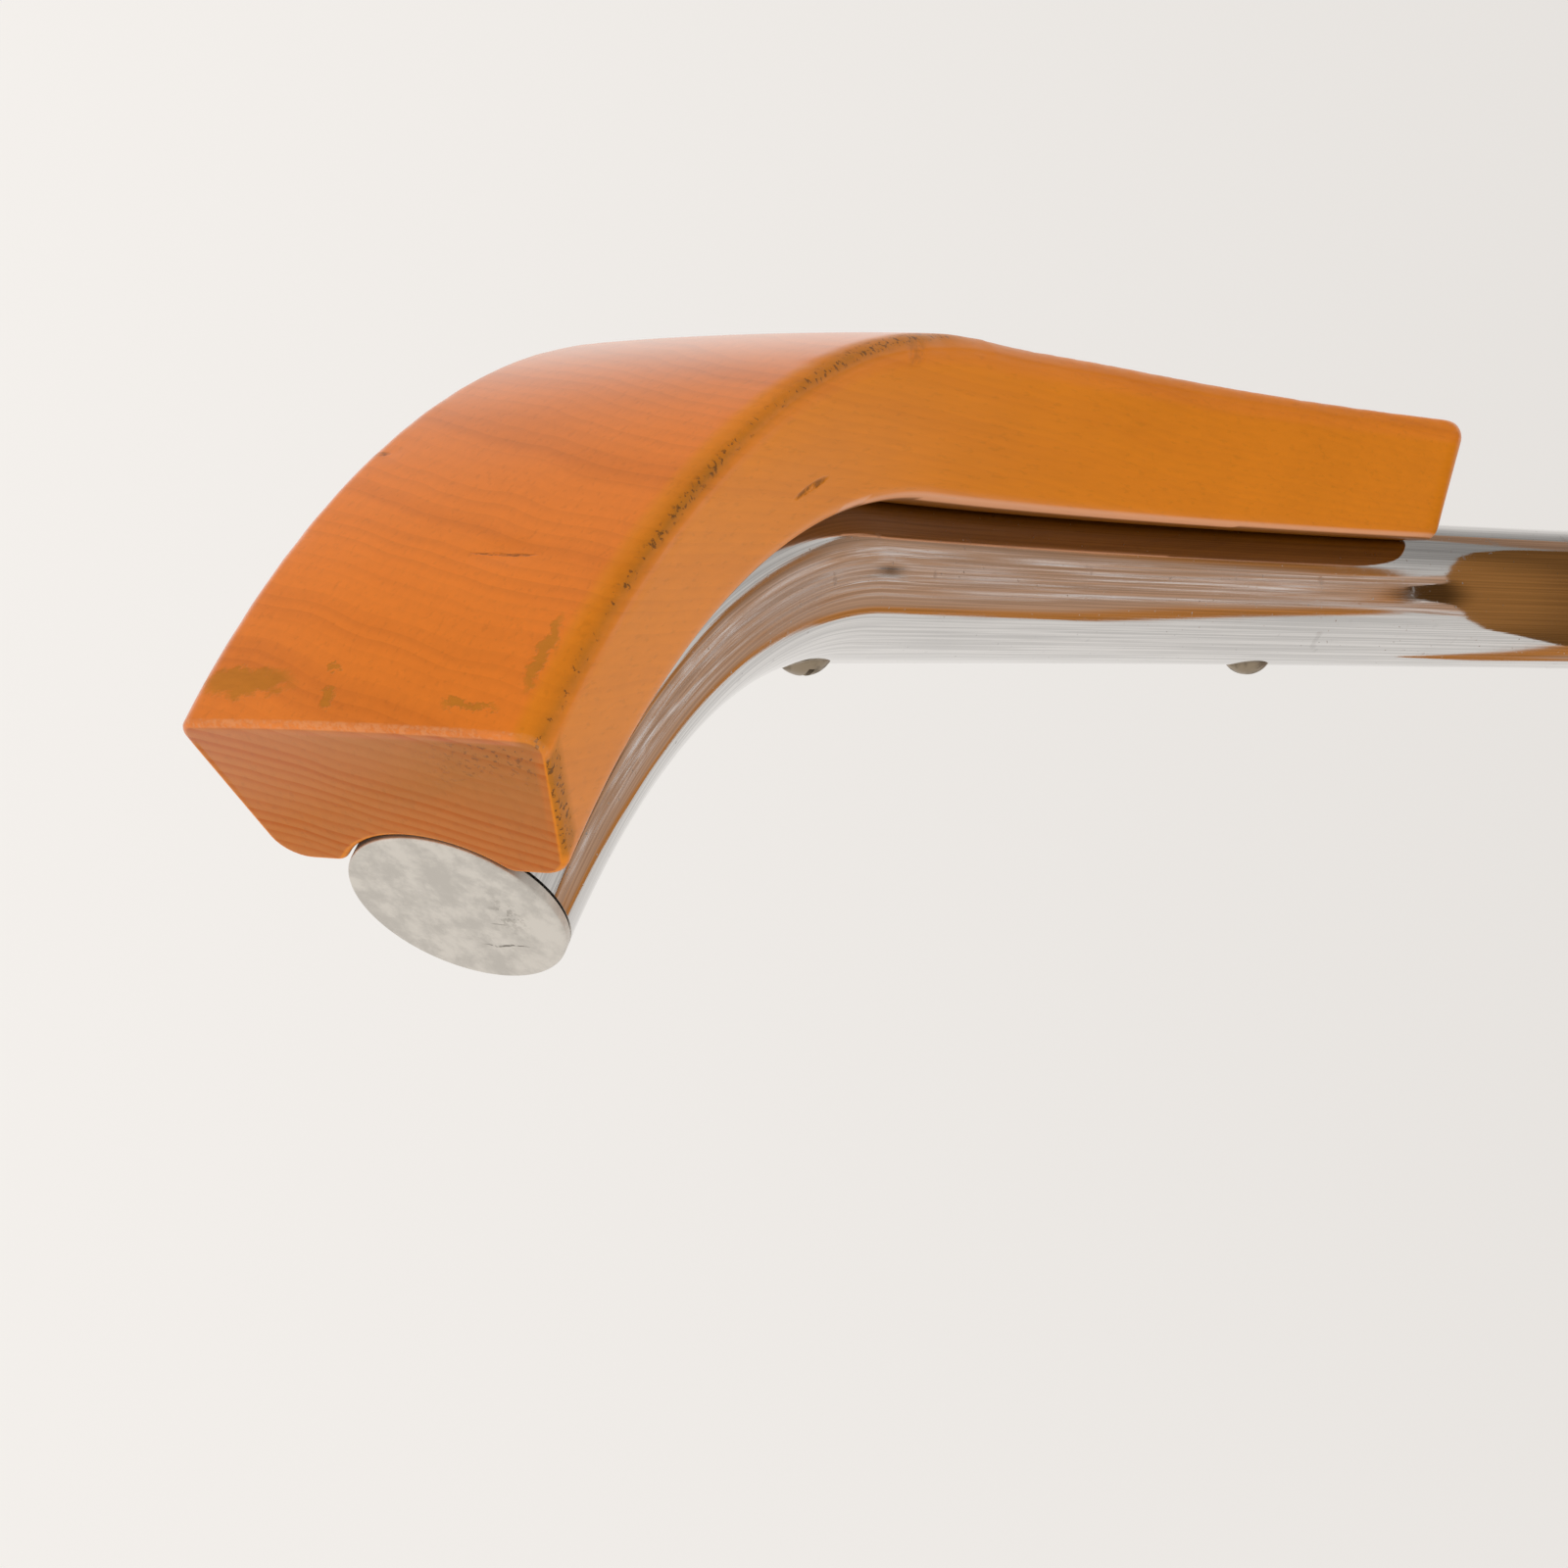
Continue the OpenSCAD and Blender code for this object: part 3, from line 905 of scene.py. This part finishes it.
def build_tube(path, sizes, metal):
    """The chromed tube: a round section swept along its path, with its wall and its drain hole."""
    material = chrome_plate(metal, True)
    end = path.sweep_length + path.elbow_length + path.tail_length
    front = -path.drop_length
    steps = round((end - front) / STEP_LENGTH)
    places = [blend(front, end, i / steps) for i in range(steps + 1)]
    mesh = bpy.data.meshes.new("tube_path")
    mesh.from_pydata([tuple(path.at(s)[0]) for s in places], [(i, i + 1) for i in range(steps)], [])
    write_attribute(mesh, "along", places)
    work = link("tube_path", mesh)

    recipe = Recipe("swept_tube", {"Radius": "NodeSocketFloat", "Sides": "NodeSocketInt"})
    spine = recipe.add("GeometryNodeMeshToCurve", sockets={0: recipe.given("Geometry")})
    sides = recipe.given("Sides")
    sockets = {"Resolution": sides, "Radius": recipe.given("Radius")}
    ring = recipe.add("GeometryNodeCurvePrimitiveCircle", sockets=sockets)
    place = recipe.add("GeometryNodeInputPosition")
    height = recipe.add("ShaderNodeSeparateXYZ", sockets={0: place}, out="Y")
    settings = {"data_type": "FLOAT", "domain": "POINT"}
    sockets = {"Geometry": ring, "Name": "around", "Value": height}
    ring = recipe.add("GeometryNodeStoreNamedAttribute", settings, sockets)
    swept = recipe.add("GeometryNodeCurveToMesh", sockets={"Curve": spine, "Profile Curve": ring})
    smooth = recipe.add("GeometryNodeSetShadeSmooth", sockets={0: swept})
    recipe.close(smooth, material)
    recipe.run(work, {"Radius": sizes.radius, "Sides": TUBE_SIDES})
    shell = settle(work, "tube_shell")

    solid = shell.modifiers.new("wall", "SOLIDIFY")
    solid.thickness = sizes.wall
    solid.offset = -1.0
    cutters = []
    deep = sizes.radius + 3 * MM
    holes = ((sizes.drain_place, sizes.drain_width / 2), (0.0, SCREW_HOLE), (sizes.screw_step, SCREW_HOLE))
    for s, radius in holes:
        profile = [(0, 0), (radius, 0), (radius, deep), (0, deep)]
        cutters.append(lathe("hole_cutter", profile, path.at(s)[0], Vector((0, 0, -1)), 32))
    piece = cut_away(shell, cutters, "chromed_tube")
    piece.data.set_sharp_from_angle(angle=math.radians(40))
    dress(piece, material, "chrome_plate", "arm_tube")


SHANK_RADIUS = 2 * MM
SHANK_LENGTH = 35 * MM
SLOT_DEPTH = 0.95 * MM
SLOT_CUTTER_HEIGHT = 1.6 * MM
DOME_STEPS = 12
SLOT_TURN = math.radians(55)
SLOT_TURN_STEP = 1.1


def build_screws(path, sizes, fixing, metal):
    """The two slotted screws, set on their places under the tube."""
    material = dull_screw_plate(metal)
    head, rise = fixing.head_radius, fixing.head_rise
    dome = (head * head + rise * rise) / (2 * rise)
    profile = [(0, -rise)]
    for i in range(1, DOME_STEPS + 1):
        a = math.asin(head / dome) * i / DOME_STEPS
        profile.append((dome * math.sin(a), dome - rise - dome * math.cos(a)))
    profile += [(head, 0.15 * MM), (SHANK_RADIUS, 0.15 * MM)]
    profile += [(SHANK_RADIUS, SHANK_LENGTH - 1 * MM), (0, SHANK_LENGTH)]
    model = lathe("screw_model", profile, Vector((0, 0, 0)), Vector((0, 0, 1)), 64)
    slot = bpy.data.meshes.new("slot")
    work = bmesh.new()
    bmesh.ops.create_cube(work, size=1.0)
    bmesh.ops.scale(work, verts=work.verts, vec=(4 * head, fixing.slot_width, SLOT_CUTTER_HEIGHT))
    bmesh.ops.translate(work, verts=work.verts, vec=(0, 0, -rise - SLOT_CUTTER_HEIGHT / 2 + SLOT_DEPTH))
    work.to_mesh(slot)
    work.free()
    model = cut_away(model, [link("slot_cutter", slot)], "screw_model")

    seat = -(sizes.radius - 0.5 * MM)
    seats = [path.at(s)[0] + Vector((0, 0, seat)) for s in (0.0, sizes.screw_step)]
    mesh = bpy.data.meshes.new("screw_seats")
    mesh.from_pydata([tuple(p) for p in seats], [], [])
    points = link("screw_seats", mesh)
    recipe = Recipe("screws_on_seats", {"Screw": "NodeSocketObject", "Turn": "NodeSocketFloat"})
    info = recipe.add("GeometryNodeObjectInfo", {}, {"Object": recipe.given("Screw")}, out="Geometry")
    index = recipe.add("GeometryNodeInputIndex")
    sockets = {0: index, 1: SLOT_TURN_STEP, 2: recipe.given("Turn")}
    turned = recipe.add("ShaderNodeMath", {"operation": "MULTIPLY_ADD"}, sockets)
    turn = recipe.add("ShaderNodeCombineXYZ", sockets={2: turned})
    sockets = {"Points": recipe.given("Geometry"), "Instance": info, "Rotation": turn}
    placed = recipe.add("GeometryNodeInstanceOnPoints", sockets=sockets)
    recipe.close(placed, material)
    recipe.run(points, {"Screw": model, "Turn": SLOT_TURN})
    piece = settle(points, "slotted_screws")
    bpy.data.objects.remove(model)
    piece.data.set_sharp_from_angle(angle=math.radians(30))
    dress(piece, material, "screw_steel", "pad_screws")


PIN_RADIUS = 3 * MM
PIN_LENGTH = 4 * MM
DISC_BEVEL = 0.2 * MM
DISC_DOME = 0.03 * MM


def build_disc(path, sizes, fixing, metal):
    """The flat disc that closes the tube's front end, with a rounded edge and its pin."""
    point, direction, up, side = path.axes(-path.drop_length)
    low = fixing.disc_seam
    high = fixing.disc_seam + fixing.disc_plate
    radius, edge = sizes.radius, fixing.disc_round
    profile = [(0, -PIN_LENGTH), (PIN_RADIUS, -PIN_LENGTH), (PIN_RADIUS, low)]
    profile += [(radius - DISC_BEVEL, low), (radius, low + DISC_BEVEL)]
    for i in range(7):
        a = math.pi / 2 * i / 6
        profile.append((radius - edge + edge * math.cos(a), high - edge + edge * math.sin(a)))
    profile += [(radius * k, high + DISC_DOME * (1 - k * k)) for k in (0.85, 0.6, 0.35, 0.12, 0)]
    piece = lathe("closing_disc", profile, point, -direction, 160, math.radians(40))
    offsets = [v.co - point for v in piece.data.vertices]
    write_attribute(piece.data, "disc_side", [o.dot(side) for o in offsets])
    write_attribute(piece.data, "disc_up", [o.dot(up) for o in offsets])
    dress(piece, satin_plate(metal), "satin_plate", "end_disc")


HUB_RADIUS = 16.5 * MM
HUB_SCREW_HOLE = 2.55 * MM


def build_flange(sizes, fixing, metal):
    """The rear flange: a turned plate with a hub, rounded edges and four bolt holes."""
    low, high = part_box("rear_flange")
    _, gasket_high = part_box("flange_gasket")
    ring_low, ring_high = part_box("hub_ring")
    outer = (high.x - low.x) / 2
    base = gasket_high.y
    mouth = high.y
    plate = base + fixing.flange_plate
    hub = HUB_RADIUS
    bore = sizes.radius + 0.1 * MM
    seat = (ring_high.x - ring_low.x) / 2
    profile = [(0, base), (outer - 0.4 * MM, base), (outer, base + 0.4 * MM)]
    profile += fillet((outer, plate), (outer, base), (hub, plate), 1.2 * MM)
    profile += fillet((hub, plate), (outer, plate), (hub, mouth), 2.0 * MM)
    profile += fillet((hub, mouth), (hub, plate), (seat, mouth), 0.6 * MM)
    profile += [(seat, mouth), (seat, ring_low.y), (bore, ring_low.y), (bore, plate), (0, plate)]
    model = lathe("flange_model", [(p[0], p[1]) for p in profile], Vector((0, 0, 0)), Vector((0, 1, 0)), 192)
    cutters = []
    for i in range(4):
        a = math.radians(45 + 90 * i)
        centre = Vector((math.cos(a) * fixing.bolt_circle, 0, math.sin(a) * fixing.bolt_circle))
        hole, rim = fixing.bolt_hole, 0.5 * MM
        shape = [(0, 0), (hole, 0), (hole, plate - rim), (hole + 2 * rim, plate + rim), (0, plate + rim)]
        cutters.append(lathe("bolt_cutter", shape, centre, Vector((0, 1, 0)), 48))
    screw_low, screw_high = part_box("hub_screws")
    middle = Vector((0, (screw_low.y + screw_high.y) / 2, 0))
    for axis in (Vector((0, 0, -1)), Vector((1, 0, 0))):
        shape = [(0, 0), (HUB_SCREW_HOLE, 0), (HUB_SCREW_HOLE, 20 * MM), (0, 20 * MM)]
        cutters.append(lathe("screw_cutter", shape, middle, axis, 40))
    piece = cut_away(model, cutters, "round_flange")
    piece.data.set_sharp_from_angle(angle=math.radians(35))
    dress(piece, chrome_plate(metal, False), "chrome_plate", "rear_flange")


def finish_cad_pieces(metal):
    """Better materials for the CAD pieces that are carried over as they are."""
    steel = turned_metal("plain_steel", (0.42, 0.42, 0.43), 0.32)
    brass = turned_metal("insert_brass", (0.62, 0.43, 0.16), 0.28)
    nylon = moulded("plug_nylon", (0.72, 0.7, 0.63), 0.45, 1800.0)
    rubber = moulded("black_rubber", (0.022, 0.021, 0.02), 0.6, 2400.0)
    looks = {
        "pad_inserts": brass,
        "crush_sleeves": steel,
        "end_plug": nylon,
        "hub_ring": rubber,
        "flange_gasket": rubber,
        "hub_screws": dull_screw_plate(metal),
    }
    for node, material in looks.items():
        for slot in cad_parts[node].material_slots:
            slot.material = material


# ---- Stage ----


def glow(board, tone):
    return board.node("ShaderNodeEmission", {}, {"Color": tone, "Strength": 1.0})


# How much of its colour the paper also gives back from the lamps. The rest is its own glow.
PAPER_SHARE = 0.18


def studio_material(pale):
    """Matt pale paper that also glows a little, as in a light tent."""
    board = Board("studio_paper")
    diffuse = board.node("ShaderNodeBsdfDiffuse", {}, {"Color": (*scaled(pale, PAPER_SHARE), 1.0)})
    x, y, z = board.split(board.place())
    # The light fades a little from one side of the tent to the other, and towards its top.
    glowing = (0.83 - (x * 0.45 - y * 0.89) * 0.07) * (z.smooth(2.6, 0.9) * 0.6 + 0.4)
    light = glow(board, board.tint(pale, glowing))
    board.node_output(board.node("ShaderNodeAddShader", {}, {0: diffuse, 1: light}))
    return board.material


def shell_material(name, tone, edge):
    """The chair's shell as the chrome mirrors it: a glowing stand-in whose colours are painted light, with
    painted highlights as pale dashes in its middle and a bare edge.
    """
    board = Board(name)
    x, y, z = board.split(board.place())
    rim = board.attribute("rim")
    streaks = board.noise(board.join(x * 20, y * 22, z * 330), 1.0, 3.0, 0.6)
    fine = board.noise(board.join(x * 20, y * 50, z * 900), 1.0, 2.0, 0.6)
    breaks = board.noise(board.join(x * 30, y * 36, z * 60 + 4.0), 1.0, 2.0)
    field = y.smooth(60 * MM, 20 * MM) * y.smooth(-170 * MM, -120 * MM)
    field = field * z.smooth(90 * MM, 50 * MM) * z.smooth(-80 * MM, -40 * MM)
    # Painted highlights: pale dashes in the middle of the shell.
    painted_glints = streaks.smooth(0.5, 0.57) * breaks.smooth(0.4, 0.52) * field
    base = board.tint(tone, 1.0 + (streaks + fine - 1.0) * (field * 0.5 + 0.1))
    base = board.mix(painted_glints * 0.8, base, (0.95, 0.9, 0.88))
    # The bare edge shows at the shell's bottom and far side only.
    hidden = y.smooth(-30 * MM, 0.0) * z.smooth(-62 * MM, -42 * MM)
    base = board.mix(rim.smooth(0.35, 0.75) * (1.0 - hidden), base, edge)
    # Towards the seat the shell turns away from the light.
    away = y.smooth(-168 * MM, -186 * MM).top(z.smooth(60 * MM, 110 * MM) * 0.5)
    away = away.top(x.smooth(-53 * MM, -58 * MM))
    flank_shade = x.smooth(-50 * MM, -30 * MM) * x.smooth(30 * MM, 20 * MM) * 0.62
    away = away.top(y.smooth(55 * MM, 59 * MM) * flank_shade)
    base = board.mix(away * 0.85, base, scaled(tone, 0.12))
    # The card glows instead of being lit, so all its colour and shade is painted light.
    board.node_output(glow(board, base))
    return board.material


def card(name, corners, radii, middle, place, sides, material, rim_width):
    """A flat card for the chrome to mirror, with a rim round its outline. The camera doesn't see it.

    Corners, radii, middle and rim width are in millimetres, along the two sides from the place.
    """
    outline = round_outline([Vector(corner) * MM for corner in corners], [radius * MM for radius in radii])
    middle = Vector(middle) * MM
    right, up = sides
    levels = (1.0, 0.75, 0.5, 0.25, 0.0)
    points, rims = [], []
    for level in levels:
        for p in outline:
            flat = Vector(p)
            q = flat + (middle - flat).normalized() * rim_width * MM * (1 - level)
            points.append(place + right * q.x + up * q.y)
            rims.append(level if rim_width else 0.0)
    points.append(place + right * middle.x + up * middle.y)
    rims.append(0.0)
    count = len(outline)
    last = (len(levels) - 1) * count
    faces = skin(len(levels), count)
    faces += [(last + i, last + (i + 1) % count, len(points) - 1) for i in range(count)]
    piece = mesh_piece(name, points, faces)
    write_attribute(piece.data, "rim", rims)
    piece.data.materials.append(material)
    piece.visible_camera = False
    piece.visible_diffuse = False
    piece.visible_shadow = False
    piece.visible_transmission = False


def round_outline(corners, radii, steps=14):
    """A flat outline with one radius for each of its corners."""
    outline = []
    for i, corner in enumerate(corners):
        outline += fillet(corner, corners[i - 1], corners[(i + 1) % len(corners)], radii[i], steps)
    return outline


def area_light(name, place, aim, width, height, power, tone):
    light = bpy.data.lights.new(name, "AREA")
    light.shape = "RECTANGLE"
    light.size = width
    light.size_y = height
    light.energy = power
    light.color = tone
    lamp = bpy.data.objects.new(name, light)
    lamp.location = place
    lamp.rotation_euler = (aim - place).to_track_quat("-Z", "Y").to_euler()
    lamp.visible_glossy = False
    bpy.context.scene.collection.objects.link(lamp)


BOWL_FLOOR = 1.6
BOWL_CURVE = 1.2
BOWL_TOP = 3.2
BOWL_STEPS = 96


def build_stage(path, stage):
    """Pale studio bowl, soft lights, the camera, and the cards that the chrome mirrors."""
    scene = bpy.context.scene
    scene.view_settings.view_transform = "Standard"
    floor = -stage.floor
    profile = [(0, floor), (BOWL_FLOOR, floor)]
    for a in np.radians(np.arange(5, 91, 5)):
        profile.append((BOWL_FLOOR + BOWL_CURVE * math.sin(a), floor + BOWL_CURVE * (1 - math.cos(a))))
    profile.append((BOWL_FLOOR + BOWL_CURVE, BOWL_TOP))
    turns = [2 * math.pi * i / BOWL_STEPS for i in range(BOWL_STEPS)]
    points = [(r * math.cos(a), r * math.sin(a), height) for r, height in profile for a in turns]
    mesh = bpy.data.meshes.new("studio_bowl")
    mesh.from_pydata(points, [], skin(len(profile), BOWL_STEPS))
    mesh.polygons.foreach_set("use_smooth", [True] * len(mesh.polygons))
    mesh.materials.append(studio_material(tuple(stage.pale)))
    bowl = link("studio_bowl", mesh)

    world = bpy.data.worlds.new("studio_air")
    world.use_nodes = True
    background = world.node_tree.nodes["Background"]
    background.inputs["Color"].default_value = (0.9, 0.89, 0.88, 1.0)
    background.inputs["Strength"].default_value = 0.25
    scene.world = world

    aim = path.start
    area_light("overhead_softbox", aim + Vector((0.55, 0.25, 1.35)), aim, 1.6, 1.2, 14.6, (1.0, 0.97, 0.94))
    area_light("side_softbox", aim + Vector((-1.2, -1.0, 0.5)), aim, 1.2, 1.0, 3.5, (1.0, 0.98, 0.96))

    shell = shell_material("mirrored_shell", tuple(stage.shell), tuple(stage.shell_edge))
    flank = shell_material("mirrored_flank", tuple(stage.flank), scaled(stage.flank, 0.8))
    upright = Vector((0, 0, 1))
    sides = (Vector((0, 1, 0)), upright)
    corners = [(-195, -92), (-61, -106), (10, -118), (50, -103), (97, -91), (94, -73), (50, -55), (24, -20),
               (24, 112), (-105, 112), (-195, 62)]
    radii = (100, 30, 30, 20, 4, 8, 20, 20, 8, 30, 30)
    card("backrest_card", corners, radii, (-60, -30), Vector((39 * MM, 0, 0)), sides, shell, 56)
    corners = [(10, 30), (24, 44), (50, 78), (104, 104), (104, 113), (10, 113)]
    card("upper_card", corners, (2,) * 6, (36, 90), Vector((40 * MM, 0, 0)), sides, shell, 0)
    # A small card keeps the flange out of the tube's reflection, as the shell does on the chair.
    corners = [(-4, -36), (45, -36), (45, 36), (-4, 36)]
    card("cover_card", corners, (12,) * 4, (20, 0), Vector((-34.5 * MM, 0, 0)), sides, shell, 0)
    sides = (Vector((1, 0, 0)), upright)
    corners = [(-62, -4), (-56, -8), (-50, -20), (-42, -29), (-14, -42), (-14, 54), (-26, 50), (-38, 40),
               (-48, 28), (-54, 18), (-56, 11), (-62, 7)]
    radii = (3, 3, 5, 6, 3, 3, 6, 8, 8, 3, 2, 3)
    card("flank_card", corners, radii, (-40, 3), Vector((0, 60 * MM, 0)), sides, flank, 2)

    camera = bpy.data.objects.new("camera", bpy.data.cameras.new("camera"))
    scene.collection.objects.link(camera)
    camera.data.sensor_width = 36.0
    camera.data.lens = stage.lens
    camera.data.clip_start = 0.01
    camera.data.clip_end = 50.0
    level = Vector((math.sin(stage.turn), math.cos(stage.turn), 0.0))
    right = Vector((math.cos(stage.turn), -math.sin(stage.turn), 0.0))
    look = level * math.cos(stage.pitch) - upright * math.sin(stage.pitch)
    above = upright * math.cos(stage.pitch) + level * math.sin(stage.pitch)
    across = right * math.cos(stage.roll) + above * math.sin(stage.roll)
    above = above * math.cos(stage.roll) - right * math.sin(stage.roll)
    turn = Matrix((across, above, -look)).transposed().to_4x4()
    place = path.start + Vector((-stage.ahead, -stage.aside, -stage.below))
    camera.matrix_world = Matrix.Translation(place) @ turn
    scene.camera = camera


# ---- Operators, panel and registration ----


class ArmOperator:
    """What the armrest's operators share."""

    bl_options = {"REGISTER", "UNDO"}

    def groups(self, context):
        return {name: getattr(context.scene, name) for name in GROUPS}


class ARM_OT_pad(ArmOperator, bpy.types.Operator):
    """Build the wooden pad"""

    bl_idname = "armrest.pad"
    bl_label = "Wooden pad"

    def execute(self, context):
        g = self.groups(context)
        build_pad(Path(g["arm_tube_sizes"]), g["arm_pad_sizes"], g["arm_fixing_sizes"], g["arm_wood"])
        return {"FINISHED"}


class ARM_OT_tube(ArmOperator, bpy.types.Operator):
    """Build the chromed tube"""

    bl_idname = "armrest.tube"
    bl_label = "Chromed tube"

    def execute(self, context):
        g = self.groups(context)
        build_tube(Path(g["arm_tube_sizes"]), g["arm_tube_sizes"], g["arm_metal"])
        return {"FINISHED"}


class ARM_OT_screws(ArmOperator, bpy.types.Operator):
    """Build the two slotted screws under the tube"""

    bl_idname = "armrest.screws"
    bl_label = "Slotted screws"

    def execute(self, context):
        g = self.groups(context)
        build_screws(Path(g["arm_tube_sizes"]), g["arm_tube_sizes"], g["arm_fixing_sizes"], g["arm_metal"])
        return {"FINISHED"}


class ARM_OT_disc(ArmOperator, bpy.types.Operator):
    """Build the disc that closes the tube's front end"""

    bl_idname = "armrest.disc"
    bl_label = "Closing disc"

    def execute(self, context):
        g = self.groups(context)
        build_disc(Path(g["arm_tube_sizes"]), g["arm_tube_sizes"], g["arm_fixing_sizes"], g["arm_metal"])
        return {"FINISHED"}


class ARM_OT_flange(ArmOperator, bpy.types.Operator):
    """Build the rear flange"""

    bl_idname = "armrest.flange"
    bl_label = "Round flange"

    def execute(self, context):
        g = self.groups(context)
        build_flange(g["arm_tube_sizes"], g["arm_fixing_sizes"], g["arm_metal"])
        return {"FINISHED"}


class ARM_OT_carried(ArmOperator, bpy.types.Operator):
    """Give the carried CAD pieces their finishes"""

    bl_idname = "armrest.carried"
    bl_label = "Carried pieces"

    def execute(self, context):
        finish_cad_pieces(self.groups(context)["arm_metal"])
        return {"FINISHED"}


class ARM_OT_stage(ArmOperator, bpy.types.Operator):
    """Build the studio, its lights and the camera"""

    bl_idname = "armrest.stage"
    bl_label = "Studio"

    def execute(self, context):
        g = self.groups(context)
        build_stage(Path(g["arm_tube_sizes"]), g["arm_stage"])
        return {"FINISHED"}


OPERATORS = (ARM_OT_pad, ARM_OT_tube, ARM_OT_screws, ARM_OT_disc, ARM_OT_flange, ARM_OT_carried, ARM_OT_stage)


class ARM_PT_panel(bpy.types.Panel):
    """Lists the armrest's pieces and their sizes"""

    bl_idname = "ARM_PT_panel"
    bl_label = "Armrest"
    bl_space_type = "VIEW_3D"
    bl_region_type = "UI"
    bl_category = "Armrest"

    def draw(self, context):
        for operator in OPERATORS:
            self.layout.operator(operator.bl_idname)
        for name, group in GROUPS.items():
            box = self.layout.box()
            for field in group.__annotations__:
                box.prop(getattr(context.scene, name), field)


def register():
    for group in GROUPS.values():
        bpy.utils.register_class(group)
    for operator in OPERATORS:
        bpy.utils.register_class(operator)
    bpy.utils.register_class(ARM_PT_panel)
    for name, group in GROUPS.items():
        setattr(bpy.types.Scene, name, bpy.props.PointerProperty(type=group))


def unregister():
    for name in GROUPS:
        delattr(bpy.types.Scene, name)
    for kind in (ARM_PT_panel, *reversed(OPERATORS), *reversed(tuple(GROUPS.values()))):
        bpy.utils.unregister_class(kind)


def main():
    register()
    bpy.ops.armrest.stage()
    bpy.ops.armrest.pad()
    bpy.ops.armrest.tube()
    bpy.ops.armrest.screws()
    bpy.ops.armrest.disc()
    bpy.ops.armrest.flange()
    bpy.ops.armrest.carried()


if __name__ == "__main__":
    main()
